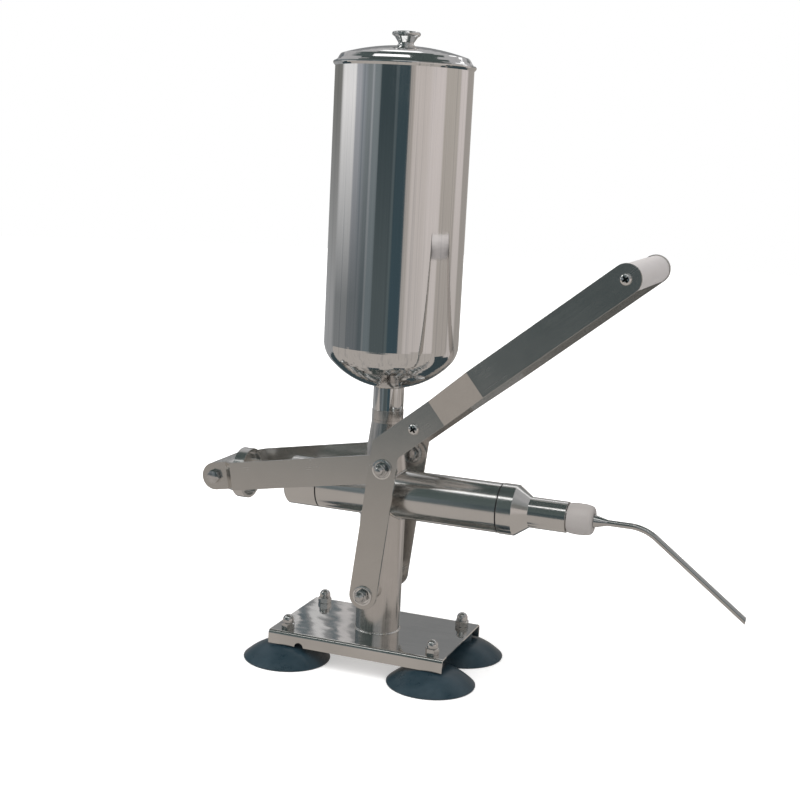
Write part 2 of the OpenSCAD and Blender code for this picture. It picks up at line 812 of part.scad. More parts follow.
module stroke_stop() {
    x0 = x_crosshead + crosshead_d / 2 + gap;
    color([0.72, 0.72, 0.72]) at_column()
    along_x(x0) difference() {
        cylinder(d = stop_od, h = stop_len);
        translate([0, 0, stop_len / 2]) cylinder(r = stop_od / 2 - stop_wall, h = stop_len);
        translate([0, 0, -1]) cylinder(r = rod_r + fit, h = stop_len + 2);
    }
}

module crosshead() {
    len = 2 * (tab_in - gap);
    ch = 1.2;
    depth = 22;
    color([0.68, 0.68, 0.68]) at_column()
    difference() {
        translate([x_crosshead, len / 2, barrel_z]) rotate([90, 0, 0]) union() {
            cylinder(r1 = crosshead_d / 2 - ch, r2 = crosshead_d / 2, h = ch);
            translate([0, 0, ch]) cylinder(d = crosshead_d, h = len - 2 * ch);
            translate([0, 0, len - ch])
                cylinder(r1 = crosshead_d / 2, r2 = crosshead_d / 2 - ch, h = ch);
        }
        along_x(x_crosshead + 1.5) cylinder(r = rod_r + fit, h = crosshead_d);
        both_sides(p_cross, tab_in - depth) cylinder(r = bolt_r + fit, h = depth + 1);
    }
}

module crosshead_bolts() {
    color([0.6, 0.6, 0.6]) at_column()
    both_sides(p_cross, tab_w / 2 + gap) hex_bolt(bar_t + gap + cross_thread);
}

// ---------- links ----------

module link_bar_far() {
    run = link_in - tab_in;
    u1 = bar_w / 2 + 1;
    u_end = link_len + link_over;
    color([0.63, 0.63, 0.61]) at_column()
    translate([x_crosshead, 0, barrel_z]) rotate([0, -link_rise, 0]) difference() {
        intersection() {
            slab(tab_in - 1, link_out + 1) bar_outline([0, 0], [u_end, 0], bar_w);
            translate([0, 0, -bar_w]) linear_extrude(2 * bar_w)
                strip_plan(-bar_w, u1, u1 + run, u_end + bar_w, tab_in, link_in, bar_t);
        }
        slab(0, big) circle(r = bolt_r + fit);
        slab(0, big) translate([link_len, 0]) circle(r = bolt_r + link_play);
    }
}

module link_bar_near() {
    mirror([0, 1, 0]) link_bar_far();
}

// ---------- lever ----------

module lever_plate_far() {
    reach = lower_len + bar_w;
    color([0.6, 0.6, 0.58]) at_column()
    difference() {
        intersection() {
            slab(lever_in - 1, grip_w / 2 + 1)
                bent_bar_outline(p_pivot, p_elbow, p_grip, bar_w);
            translate([p_elbow[0], 0, p_elbow[1]]) rotate([0, -upper_rise, 0])
                translate([0, 0, -reach]) linear_extrude(reach + bar_w)
                    strip_plan(-reach, splay_from, splay_to, upper_len + bar_w,
                               lever_in, grip_in, bar_t);
        }
        for (p = [p_pivot, p_link]) slab(0, big) translate(p) circle(r = bolt_r + fit);
        for (p = [p_tie, p_grip]) slab(0, big) translate(p) circle(r = screw_r + fit);
    }
}

module lever_plate_near() {
    mirror([0, 1, 0]) lever_plate_far();
}

module pivot_bolt() {
    color([0.75, 0.75, 0.75]) at_column()
    translate([0, nut_seat, pivot_z]) rotate([-90, 0, 0])
        hex_bolt(nut_seat + lever_nut_end + thread_out);
}

module pivot_washers() {
    color([0.85, 0.85, 0.85]) at_column()
    both_sides(p_pivot, lever_w / 2) washer();
}

module pivot_nut() {
    color([0.75, 0.75, 0.75]) at_column()
    translate([0, -nut_seat, pivot_z]) rotate([90, 0, 0]) hex_nut(bolt_af, nut_h, bolt_d);
}

// the heads of the link bolts are inside the fork, so each bolt points outwards
module link_bolts() {
    seat = link_in - gap - washer_t;
    color([0.75, 0.75, 0.75]) at_column()
    both_sides(p_link, seat) mirror([0, 0, 1]) hex_bolt(lever_nut_end + thread_out - seat);
}

module link_washers() {
    color([0.85, 0.85, 0.85]) at_column() {
        both_sides(p_link, lever_w / 2) washer();
        both_sides(p_link, link_in - gap - washer_t) washer();
    }
}

module link_nuts() {
    color([0.75, 0.75, 0.75]) at_column()
    both_sides(p_link, nut_seat) hex_nut(bolt_af, nut_h, bolt_d);
}

module tie_rod() {
    color([0.7, 0.7, 0.7]) at_column()
    difference() {
        slab(-lever_in, lever_in) translate(p_tie) circle(d = tie_d);
        both_sides(p_tie, lever_in - screw_len) cylinder(r = screw_r + fit, h = big);
    }
}

module tie_screws() {
    color([0.85, 0.85, 0.85]) at_column()
    both_sides(p_tie, lever_w / 2) pan_screw(bar_t + screw_len - 1);
}

module grip() {
    color([0.94, 0.93, 0.92]) at_column()
    difference() {
        slab(-grip_in, grip_in) translate(p_grip) circle(d = grip_d);
        both_sides(p_grip, grip_in - screw_len) cylinder(r = screw_r + fit, h = big);
    }
}

module grip_screws() {
    color([0.85, 0.85, 0.85]) at_column()
    both_sides(p_grip, grip_w / 2) pan_screw(bar_t + screw_len - 1);
}

base_plate();
suction_cups();
cup_studs();
cap_nuts();
column();
pivot_tube();
barrel();
neck();
rear_cap();
rod_bush();
rod_seal();
rear_o_ring();
front_o_ring();
front_cap();
valve_ball();
valve_spring();
valve_retainer();
nozzle_gasket();
nozzle_nut();
needle_nozzle();
union_ring();
hopper_gasket();
hopper();
lid();
lid_knob();
knob_screw();
piston();
piston_seals();
piston_nut();
piston_rod();
stroke_stop();
crosshead();
crosshead_bolts();
link_bar_near();
link_bar_far();
lever_plate_near();
lever_plate_far();
pivot_bolt();
pivot_washers();
pivot_nut();
link_bolts();
link_washers();
link_nuts();
tie_rod();
tie_screws();
grip();
grip_screws();
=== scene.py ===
"""Looks of the hand-lever doughnut filler: materials, softened edges, fasteners, welds, studio and camera.

Metres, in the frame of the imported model: X along the barrel towards the needle, Z up, floor at Z = 0.
"""
import math

import bmesh
import bpy
from mathutils import Matrix, Vector, noise


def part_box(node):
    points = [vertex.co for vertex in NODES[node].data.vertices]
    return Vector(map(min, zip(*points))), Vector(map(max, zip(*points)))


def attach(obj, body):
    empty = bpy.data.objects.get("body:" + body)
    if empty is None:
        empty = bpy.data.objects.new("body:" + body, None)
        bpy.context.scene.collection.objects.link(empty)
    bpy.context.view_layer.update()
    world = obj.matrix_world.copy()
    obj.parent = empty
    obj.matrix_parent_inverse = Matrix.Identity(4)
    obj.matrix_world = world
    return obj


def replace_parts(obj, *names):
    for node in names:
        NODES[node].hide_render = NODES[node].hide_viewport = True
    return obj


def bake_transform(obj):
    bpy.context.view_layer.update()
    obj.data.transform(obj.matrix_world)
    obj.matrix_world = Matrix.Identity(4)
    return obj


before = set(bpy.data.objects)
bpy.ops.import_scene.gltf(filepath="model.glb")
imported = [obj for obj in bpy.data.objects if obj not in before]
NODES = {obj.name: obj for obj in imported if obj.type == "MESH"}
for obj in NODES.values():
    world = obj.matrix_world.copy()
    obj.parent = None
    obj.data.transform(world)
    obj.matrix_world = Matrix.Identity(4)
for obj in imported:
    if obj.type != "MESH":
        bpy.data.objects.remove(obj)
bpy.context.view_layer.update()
MM = 0.001

# ---------------------------------------------------------------- measured places
def middle(node):
    low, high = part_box(node)
    return (Vector(low) + Vector(high)) / 2


def half_size(node, axis):
    low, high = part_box(node)
    return (high[axis] - low[axis]) / 2


COLUMN_X = middle("pivot_tube").x
BARREL_Z = middle("barrel").z
PIVOT_Z = middle("pivot_tube").z
LOWER_LEAN = math.radians(6.2)     # of the lever's lower part, from upright towards the needle
UPPER_RISE = math.radians(39.2)    # of the lever's upper part, above level
ELBOW_REACH, LINK_PIN_REACH = 0.160, 0.1385     # along the lower part, from the pivot
TIE_REACH, GRIP_REACH = 0.0386, 0.309           # along the upper part, from the elbow
CROSSHEAD_BACK = 0.184                          # from the column's axis
HOPPER_WALL_R = 0.0699                          # inside the thickness of the hopper's straight wall
HOPPER_STRAIGHT = 0.275                         # height of that wall, from the hopper's top


def on_lower_lever(reach):
    """The point of the lever's lower part that is reach away from the pivot."""
    return Vector((COLUMN_X + reach * math.sin(LOWER_LEAN), 0, PIVOT_Z + reach * math.cos(LOWER_LEAN)))


PIVOT = Vector((COLUMN_X, 0, PIVOT_Z))
ELBOW = on_lower_lever(ELBOW_REACH)
LINK_PIN = on_lower_lever(LINK_PIN_REACH)
CROSSHEAD = Vector((COLUMN_X - CROSSHEAD_BACK, 0, BARREL_Z))
LINK_RISE = math.atan2(LINK_PIN.z - CROSSHEAD.z, LINK_PIN.x - CROSSHEAD.x)
ALONG_UPPER = Vector((math.cos(UPPER_RISE), 0, math.sin(UPPER_RISE)))
TIE = ELBOW + TIE_REACH * ALONG_UPPER
GRIP = ELBOW + GRIP_REACH * ALONG_UPPER


# ---------------------------------------------------------------- helpers
def add_object(name, data):
    obj = bpy.data.objects.new(name, data)
    bpy.context.scene.collection.objects.link(obj)
    return obj


def fill_ramp(node, stops):
    """Gives a colour ramp node the stops [(place, colour), ...] and returns its colour."""
    elements = node.color_ramp.elements
    while len(elements) < len(stops):
        elements.new(0.5)
    for element, (place, colour) in zip(elements, stops):
        element.position = place
        element.color = (*colour, 1)
    return node.outputs[0]


class Shader:
    """A principled material with a few shorthands for its node tree."""

    def __init__(self, name, colour, rough, metal=1.0):
        self.mat = bpy.data.materials.new(name)
        self.mat.use_nodes = True
        self.tree = self.mat.node_tree
        self.tree.nodes.clear()
        self.out = self.node("ShaderNodeOutputMaterial")
        self.bsdf = self.node("ShaderNodeBsdfPrincipled")
        self.link(self.bsdf.outputs[0], self.out.inputs[0])
        for key, v in (("Metallic", metal), ("Roughness", rough), ("Base Color", (*colour, 1))):
            self.bsdf.inputs[key].default_value = v
        self.coord = self.node("ShaderNodeTexCoord").outputs["Object"]
        self.mat.diffuse_color = (*colour, 1)

    def node(self, kind, **props):
        n = self.tree.nodes.new(kind)
        for k, v in props.items():
            setattr(n, k, v)
        return n

    def link(self, a, b):
        self.tree.links.new(a, b)

    def mapped(self, scale, rotation=(0, 0, 0), location=(0, 0, 0)):
        """Object coordinates: turned by the rotation, moved by the location, then scaled."""
        source = self.coord
        if any(rotation) or any(location):
            turn = self.node("ShaderNodeMapping", vector_type="POINT")
            turn.inputs["Rotation"].default_value = rotation
            turn.inputs["Location"].default_value = location
            self.link(source, turn.inputs["Vector"])
            source = turn.outputs[0]
        size = self.node("ShaderNodeMapping", vector_type="POINT")
        size.inputs["Scale"].default_value = scale
        self.link(source, size.inputs["Vector"])
        return size.outputs[0]

    def noise(self, vector, detail, rough, distortion=0.0):
        n = self.node("ShaderNodeTexNoise")
        for k, v in (("Scale", 1), ("Detail", detail), ("Roughness", rough), ("Distortion", distortion)):
            n.inputs[k].default_value = v
        self.link(vector, n.inputs["Vector"])
        return n.outputs["Fac"]

    def ramp(self, value, stops):
        """Maps a value through colour stops [(place, colour), ...]."""
        n = self.node("ShaderNodeValToRGB")
        self.link(value, n.inputs[0])
        return fill_ramp(n, stops)

    def range(self, value, low, high, to_low, to_high):
        n = self.node("ShaderNodeMapRange")
        for k, v in zip(("From Min", "From Max", "To Min", "To Max"), (low, high, to_low, to_high)):
            n.inputs[k].default_value = v
        self.link(value, n.inputs["Value"])
        return n.outputs[0]

    def math(self, op, a, b):
        n = self.node("ShaderNodeMath", operation=op)
        for i, v in enumerate((a, b)):
            if isinstance(v, (int, float)):
                n.inputs[i].default_value = v
            else:
                self.link(v, n.inputs[i])
        return n.outputs[0]

    def mix(self, factor, a, b, blend="MIX"):
        n = self.node("ShaderNodeMix", data_type="RGBA", blend_type=blend)
        n.inputs[0].default_value = factor
        self.link(a, n.inputs[6])
        self.link(b, n.inputs[7])
        return n.outputs[2]

    def bump(self, height, distance, onto=None):
        n = self.node("ShaderNodeBump")
        n.inputs["Strength"].default_value = 1
        n.inputs["Distance"].default_value = distance
        self.link(height, n.inputs["Height"])
        if onto is not None:
            self.link(onto, n.inputs["Normal"])
        return n.outputs[0]

    def finish(self, colour, rough, normal):
        for key, source in (("Base Color", colour), ("Roughness", rough), ("Normal", normal)):
            self.link(source, self.bsdf.inputs[key])
        return self.mat


# ---------------------------------------------------------------- materials
def lined_steel(name, colour, rough, lines, rotation=(0, 0, 0), depth=2e-6, vary=0.08, spread=0.35,
                blotch=18.0, wave=0.0):
    """Steel with fine parallel lines: lines is the noise scale per axis, low along the lines, depth their
    height, vary and spread the play in tone and gloss, and wave how far the sheet is out of flat."""
    s = Shader(name, colour, rough)
    dark = tuple(c * (1 - vary) for c in colour)
    light = tuple(min(1, c * (1 + vary)) for c in colour)
    fine = s.noise(s.mapped(lines, rotation), 2, 0.6)
    patch = s.noise(s.mapped((blotch,) * 3), 4, 0.6, 0.4)
    tone = s.mix(0.6, s.ramp(fine, [(0.3, dark), (0.7, light)]), s.ramp(patch, [(0.3, dark), (0.7, light)]))
    gloss = s.math("ADD", s.range(fine, 0.3, 0.7, rough * (1 - spread * 0.5), rough * (1 + spread * 0.5)),
                   s.range(patch, 0.3, 0.7, -rough * spread * 0.5, rough * spread * 0.5))
    out_of_flat = s.bump(s.noise(s.mapped((15, 24, 15)), 2, 0.5), wave) if wave else None
    return s.finish(tone, gloss, s.bump(fine, depth, out_of_flat))


def inner_wall(s):
    """1 on the inner side of the hopper's straight wall, 0 elsewhere."""
    length = s.node("ShaderNodeVectorMath", operation="LENGTH")
    s.link(s.mapped((1, 1, 0), location=(-COLUMN_X, 0, 0)), length.inputs[0])
    split = s.node("ShaderNodeSeparateXYZ")
    s.link(s.coord, split.inputs[0])
    return s.math("MULTIPLY", s.math("LESS_THAN", length.outputs["Value"], HOPPER_WALL_R),
                  s.math("GREATER_THAN", split.outputs[2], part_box("hopper")[1].z - HOPPER_STRAIGHT))


def mirror_steel(name="steel_polished_sheet", satin_inside=False):
    """Polished sheet: almost a mirror, with faint upright polishing marks and slight waviness. satin_inside
    dulls the inner side of the hopper's wall."""
    s = Shader(name, (0.80, 0.795, 0.79), 0.05)
    marks = s.noise(s.mapped((900, 900, 14)), 3, 0.7)
    wave = s.noise(s.mapped((26, 26, 3.0)), 2, 0.5)
    haze = s.noise(s.mapped((30, 30, 12)), 4, 0.65)
    streaks = s.noise(s.mapped((260, 260, 1.2)), 3, 0.6)
    colour = s.mix(0.35, s.ramp(marks, [(0.35, (0.77, 0.765, 0.76)), (0.65, (0.83, 0.825, 0.82))]),
                   s.ramp(haze, [(0.3, (0.76, 0.755, 0.75)), (0.7, (0.83, 0.825, 0.82))]))
    streak = s.ramp(streaks, [(0.34, (0.84, 0.85, 0.86)), (0.46, (1, 1, 1)), (0.62, (0.97, 0.97, 0.97))])
    colour = s.mix(1.0, colour, streak, "MULTIPLY")
    rough = s.math("ADD", s.range(haze, 0.35, 0.75, 0.03, 0.09), s.range(marks, 0.3, 0.7, 0.0, 0.03))
    normal = s.bump(marks, 1.2e-6, s.bump(wave, 1.1e-4))
    if satin_inside:
        inside = inner_wall(s)
        rough = s.math("ADD", rough, s.math("MULTIPLY", inside, 0.36))
        s.link(s.range(inside, 0, 1, 1.0, 0.45), s.bsdf.inputs["Metallic"])
    return s.finish(colour, rough, normal)


def chrome_parts(level=1.0, name="steel_bright_fasteners"):
    """Plated steel of small parts; level darkens it."""
    s = Shader(name, (0.82 * level, 0.82 * level, 0.815 * level), 0.16)
    speck = s.noise(s.mapped((700, 700, 700)), 3, 0.6)
    haze = s.noise(s.mapped((150, 150, 150)), 3, 0.6)
    colour = s.ramp(haze, [(0.3, tuple(c * level for c in (0.74, 0.74, 0.73))),
                           (0.7, tuple(c * level for c in (0.86, 0.86, 0.855)))])
    return s.finish(colour, s.range(speck, 0.3, 0.7, 0.08, 0.18), s.bump(speck, 2e-6))


def rubber():
    """Slate-coloured rubber with dusty patches."""
    s = Shader("rubber_slate", (0.020, 0.044, 0.060), 0.40, 0.0)
    grain = s.noise(s.mapped((1500, 1500, 1500)), 2, 0.6)
    dust = s.noise(s.mapped((40, 40, 60)), 5, 0.65)
    colour = s.ramp(dust, [(0.35, (0.014, 0.033, 0.046)), (0.75, (0.028, 0.054, 0.072))])
    rough = s.math("ADD", s.range(dust, 0.3, 0.75, 0.24, 0.44), s.range(grain, 0.3, 0.7, -0.04, 0.04))
    return s.finish(colour, rough, s.bump(grain, 1.2e-5))


def seal_rubber():
    """Black rubber of the rings and seals."""
    s = Shader("rubber_seal_black", (0.012, 0.013, 0.014), 0.45, 0.0)
    grain = s.noise(s.mapped((1200, 1200, 1200)), 2, 0.6)
    return s.finish(s.ramp(grain, [(0.3, (0.009, 0.010, 0.011)), (0.7, (0.018, 0.019, 0.020))]),
                    s.range(grain, 0.3, 0.7, 0.38, 0.52), s.bump(grain, 8e-6))


def plastic(name, colour, lines):
    """Turned or moulded white plastic: faint turning lines and handling marks."""
    s = Shader(name, colour, 0.36, 0.0)
    fine = s.noise(s.mapped(lines), 2, 0.5)
    soil = s.noise(s.mapped((55, 55, 55)), 5, 0.65)
    dark = tuple(c * 0.93 for c in colour)
    tone = s.mix(0.5, s.ramp(fine, [(0.3, dark), (0.7, colour)]), s.ramp(soil, [(0.25, dark), (0.6, colour)]))
    return s.finish(tone, s.range(fine, 0.3, 0.7, 0.30, 0.44), s.bump(fine, 6e-6))


def painted_shade_steel(colour, name):
    """Steel at the bottom of a recess, dulled, and darkened as painted shade where light falls short."""
    s = Shader(name, colour, 0.42)
    spots = s.noise(s.mapped((420, 420, 420)), 4, 0.65)
    dark, light = (tuple(c * k for c in colour) for k in (0.6, 1.4))
    return s.finish(s.ramp(spots, [(0.3, dark), (0.7, light)]),
                    s.range(spots, 0.3, 0.7, 0.34, 0.55), s.bump(spots, 1.5e-5))


def weld_metal():
    """Brushed-off weld bead: bright, with straw and blue-grey heat tint."""
    s = Shader("steel_weld", (0.72, 0.70, 0.67), 0.24)
    tint = s.noise(s.mapped((160, 160, 160)), 4, 0.6, 0.8)
    fine = s.noise(s.mapped((900, 900, 900)), 3, 0.6)
    colour = s.ramp(tint, [(0.30, (0.56, 0.58, 0.60)), (0.52, (0.76, 0.75, 0.73)),
                           (0.72, (0.74, 0.68, 0.58))])
    return s.finish(colour, s.range(fine, 0.3, 0.7, 0.16, 0.34), s.bump(fine, 1.2e-5))


TURNED = 2600.0                  # noise scale across the lines of turned steel
BAR_LINES = (10.0, 1200, 1500)   # along a bar, across it and through its thickness
BAR_LOOK = dict(depth=3e-7, vary=0.05, spread=0.12, blotch=34)
M = {
    "mirror": mirror_steel(),
    "hopper": mirror_steel("steel_hopper_sheet", True),
    "chrome": chrome_parts(),
    "nut_steel": chrome_parts(0.80, "steel_plated_nuts"),
    "turned_x": lined_steel("steel_turned", (0.72, 0.715, 0.70), 0.17, (TURNED, 6, 6), depth=2.2e-6,
                            vary=0.05),
    "turned_y": lined_steel("steel_turned_crosswise", (0.72, 0.715, 0.70), 0.20, (6, TURNED, 6),
                            depth=2.2e-6),
    "column": lined_steel("steel_tube_drawn", (0.66, 0.64, 0.62), 0.20, (900, 900, 12), depth=2.5e-6,
                          blotch=26),
    "plate_top": lined_steel("steel_base_sheet", (0.70, 0.69, 0.67), 0.085, (14, 1300, 14), depth=5e-7,
                             spread=0.6, blotch=22, wave=9e-4),
    "link": lined_steel("steel_link_bar", (0.66, 0.645, 0.62), 0.25, BAR_LINES, (0, LINK_RISE, 0),
                        **BAR_LOOK),
    "lever": lined_steel("steel_lever_bar", (0.64, 0.625, 0.60), 0.25, BAR_LINES, (0, UPPER_RISE, 0),
                         **BAR_LOOK),
    "needle": lined_steel("steel_needle_tube", (0.64, 0.64, 0.63), 0.11, (60, 900, 60), depth=8e-7),
    "rubber": rubber(),
    "seal": seal_rubber(),
    "white_x": plastic("plastic_white_turned", (0.425, 0.40, 0.385), (1500, 6, 6)),
    "white_y": plastic("plastic_white_grip", (0.64, 0.61, 0.605), (6, 1500, 6)),
    # Dark steel for the washers' lower faces: painted shade.
    "painted_shade_steel": painted_shade_steel((0.10, 0.108, 0.105), "steel_washer_face_painted_shade"),
    "weld": weld_metal(),
    # Near-black steel for the screws' cross recesses: painted shade.
    "recess": painted_shade_steel((0.035, 0.04, 0.04), "steel_cross_recess_painted_shade"),
}

NODE_LOOKS = {
    "base_plate": "plate_top", "suction_cups": "rubber", "cup_studs": "chrome", "cap_nuts": "chrome",
    "column": "column", "pivot_tube": "turned_y", "barrel": "turned_x", "neck": "column",
    "rear_cap": "turned_x", "rod_bush": "white_x", "rod_seal": "seal", "rear_o_ring": "seal",
    "front_o_ring": "seal", "front_cap": "turned_x", "valve_ball": "chrome", "valve_spring": "chrome",
    "valve_retainer": "turned_x", "nozzle_gasket": "seal", "nozzle_nut": "white_x",
    "needle_nozzle": "needle", "union_ring": "column", "hopper_gasket": "white_x", "hopper": "hopper",
    "lid": "mirror", "lid_knob": "chrome", "knob_screw": "chrome", "piston": "white_x",
    "piston_seals": "seal", "piston_nut": "chrome", "piston_rod": "turned_x", "stroke_stop": "turned_x",
    "crosshead": "turned_y", "crosshead_bolts": "chrome", "link_bar_near": "link",
    "link_bar_far": "link", "lever_plate_near": "lever", "lever_plate_far": "lever",
    "pivot_bolt": "chrome", "pivot_washers": "chrome", "pivot_nut": "chrome", "link_bolts": "chrome",
    "link_washers": "chrome", "link_nuts": "chrome", "tie_rod": "turned_y", "tie_screws": "chrome",
    "grip": "white_y", "grip_screws": "chrome",
}


def dress(obj, look):
    obj.data.materials.clear()
    obj.data.materials.append(M[look])


for node_name, look in NODE_LOOKS.items():
    dress(NODES[node_name], look)


# ---------------------------------------------------------------- pieces that replace nodes
def shade(obj, angle=32):
    """Smooth faces, with edges sharper than the angle kept."""
    mesh = obj.data
    mesh.polygons.foreach_set("use_smooth", [True] * len(mesh.polygons))
    mesh.set_sharp_from_angle(angle=math.radians(angle))


def apply_modifiers(obj):
    graph = bpy.context.evaluated_depsgraph_get()
    done = bpy.data.meshes.new_from_object(obj.evaluated_get(graph))
    old = obj.data
    obj.modifiers.clear()
    obj.data = done
    bpy.data.meshes.remove(old)


def new_piece(name, bm, look, body, angle=32, second=None):
    """Turns a bmesh into a dressed piece that rides on a body; second is the look of faces marked 1."""
    bmesh.ops.recalc_face_normals(bm, faces=bm.faces)
    mesh = bpy.data.meshes.new(name)
    bm.to_mesh(mesh)
    bm.free()
    obj = add_object(name, mesh)
    shade(obj, angle)
    dress(obj, look)
    if second:
        obj.data.materials.append(M[second])
    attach(obj, body)
    return obj


BIG_FACE = 60 * MM * MM     # faces on both sides of a fold are larger than this
FOLD = math.radians(2)      # and the sheet turns by more than this


def softened(node, width, look, body, folds):
    """A copy of a CAD node with its sharp edges rounded, in the node's place. folds keeps shallow bends
    crisp."""
    mesh = NODES[node].data.copy()
    obj = add_object(node + "_dressed", mesh)
    bm = bmesh.new()
    bm.from_mesh(mesh)
    bmesh.ops.remove_doubles(bm, verts=bm.verts, dist=2e-6)
    bmesh.ops.dissolve_limit(bm, angle_limit=math.radians(1.0), verts=bm.verts, edges=bm.edges)
    for face in bm.faces:
        face.smooth = True
    for edge in bm.edges:
        if folds and len(edge.link_faces) == 2 and min(f.calc_area() for f in edge.link_faces) > BIG_FACE:
            edge.smooth = edge.calc_face_angle() < FOLD
    bm.to_mesh(mesh)
    bm.free()
    bevel = obj.modifiers.new("round", "BEVEL")
    bevel.width = width
    bevel.segments = 2
    bevel.limit_method = "ANGLE"
    bevel.angle_limit = math.radians(30)
    bevel.harden_normals = False
    bevel.miter_outer = "MITER_ARC"
    bevel.use_clamp_overlap = True
    level = obj.modifiers.new("flat_faces", "WEIGHTED_NORMAL")
    level.weight = 100
    level.keep_sharp = True
    apply_modifiers(obj)
    dress(obj, look)
    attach(obj, body)
    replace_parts(obj, node)


def placed(origin, axis, turn=0.0):
    """Matrix that stands a piece made along +Z at origin, pointing along axis."""
    z = Vector(axis).normalized()
    x = Vector((0, 0, 1)).cross(z)
    x = x.normalized() if x.length > 1e-6 else Vector((1, 0, 0))
    y = z.cross(x)
    m = Matrix((x, y, z)).transposed().to_4x4()
    return Matrix.Translation(origin) @ m @ Matrix.Rotation(math.radians(turn), 4, "Z")


def skin(bm, a, b):
    """Faces between two rings of as many points."""
    for k in range(len(a)):
        j = (k + 1) % len(a)
        bm.faces.new((a[k], a[j], b[j], b[k]))


def close_ends(bm, rows):
    bm.faces.new(list(reversed(rows[0])))
    bm.faces.new(rows[-1])


def spin(bm, profile, place, steps=40, marked=()):
    """Revolves (radius, height) points round the piece's Z. A profile that starts and ends on the axis is a
    solid; any other is closed into a ring. The bands that start at the marked points get look 1."""
    closed = profile[0][0] > 0 or profile[-1][0] > 0
    rows = []
    for r, h in profile:
        if r == 0:
            rows.append([bm.verts.new(place @ Vector((0, 0, h)))])
            continue
        row = []
        for k in range(steps):
            a = 2 * math.pi * k / steps
            row.append(bm.verts.new(place @ Vector((r * math.cos(a), r * math.sin(a), h))))
        rows.append(row)
    pairs = list(zip(rows, rows[1:])) + ([(rows[-1], rows[0])] if closed else [])
    for i, (a, b) in enumerate(pairs):
        for k in range(steps):
            j = (k + 1) % steps
            if len(a) == 1 and len(b) == 1:
                continue
            if len(a) == 1:
                face = bm.faces.new((a[0], b[j], b[k]))
            elif len(b) == 1:
                face = bm.faces.new((a[k], a[j], b[0]))
            else:
                face = bm.faces.new((a[k], a[j], b[j], b[k]))
            face.material_index = 1 if i in marked else 0


def hex_body(bm, af, h, hole, place):
    """Hexagon across flats af with turned chamfers, a washer face below and a hole of a radius, or none."""
    apothem, foot, steps = af / 2, 0.3 * MM, 72
    flat = 0.955 * apothem
    slope = math.tan(math.radians(27))
    rows = []

    def reach(a):
        part = (a + math.pi / 6) % (math.pi / 3) - math.pi / 6
        return apothem / math.cos(part)

    def add_row(radius_of, height_of):
        row = []
        for k in range(steps):
            a = 2 * math.pi * k / steps
            r = radius_of(a)
            row.append(bm.verts.new(place @ Vector((r * math.cos(a), r * math.sin(a), height_of(r)))))
        rows.append(row)

    if hole:
        add_row(lambda a: hole, lambda r: 0)
    add_row(lambda a: flat, lambda r: 0)
    add_row(lambda a: flat * 1.002, lambda r: foot)
    add_row(reach, lambda r: foot + max(0, r - flat) * slope * 0.4)
    add_row(reach, lambda r: h - max(0, r - flat) * slope)
    add_row(lambda a: flat, lambda r: h)
    if hole:
        add_row(lambda a: hole * 1.12, lambda r: h)
        add_row(lambda a: hole, lambda r: h - hole * 0.12)
        rows.append(rows[0])
    for a, b in zip(rows, rows[1:]):
        skin(bm, a, b)
    if not hole:
        close_ends(bm, rows)


def thread(bm, h0, h1, place):
    """Threaded stud from h0 to h1 with a rounded tip, closed at both ends."""
    pitch, tip = 1.25, 0.9
    r, depth = BOLT_D / 2, 0.55 * pitch * MM
    pts = [(0, h0), (r - depth, h0)]
    z = h0
    while z + pitch * MM < h1 - tip * MM:
        pts += [(r - depth, z + 0.10 * pitch * MM), (r, z + 0.46 * pitch * MM),
                (r, z + 0.60 * pitch * MM), (r - depth, z + 0.96 * pitch * MM)]
        z += pitch * MM
    pts += [(r - depth * 0.9, h1 - tip * MM), (r - depth * 1.05, h1 - 0.6 * tip * MM),
            (r - depth * 1.6, h1 - 0.18 * tip * MM), (r - depth * 2.6, h1), (0, h1)]
    spin(bm, pts, place, 32)


def washer_ring(bm, place):
    """Cup washer: a rolled outer rim round a lower face, which has the second look, a dark painted shade."""
    inner, outer, t, e = HOLE_R, WASHER_R, WASHER_T, 0.55 * MM
    rim, low = outer - 2.1 * MM, t - 0.85 * MM
    spin(bm, [(inner, 0), (outer - e * 0.4, 0), (outer, e * 0.5), (outer, t - e),
              (outer - e * 0.3, t - e * 0.35), (outer - e, t), (rim + 0.3 * MM, t), (rim, t - 0.25 * MM),
              (rim - 0.15 * MM, low), (inner + 0.2 * MM, low), (inner, low - 0.2 * MM)], place, 64, (7, 8, 9))


def side_axis(side):
    return Vector((0, side, 0))


def collar_nut(bm, place):
    """Locking nut: a chamfered hexagon below, and a round collar with a plastic insert's lip above."""
    h, hex_h = NUT_H, NUT_H * 0.66
    hex_body(bm, BOLT_AF, hex_h, HOLE_R, place)
    r = BOLT_AF * 0.445
    spin(bm, [(BOLT_D / 2 + 0.25 * MM, hex_h - 0.4 * MM), (r, hex_h - 0.4 * MM), (r, h - 1.1 * MM),
              (r - 0.35 * MM, h - 0.4 * MM), (r - 1.1 * MM, h), (BOLT_D / 2 + 0.75 * MM, h),
              (BOLT_D / 2 + 0.25 * MM, h - 0.5 * MM)], place, 48)


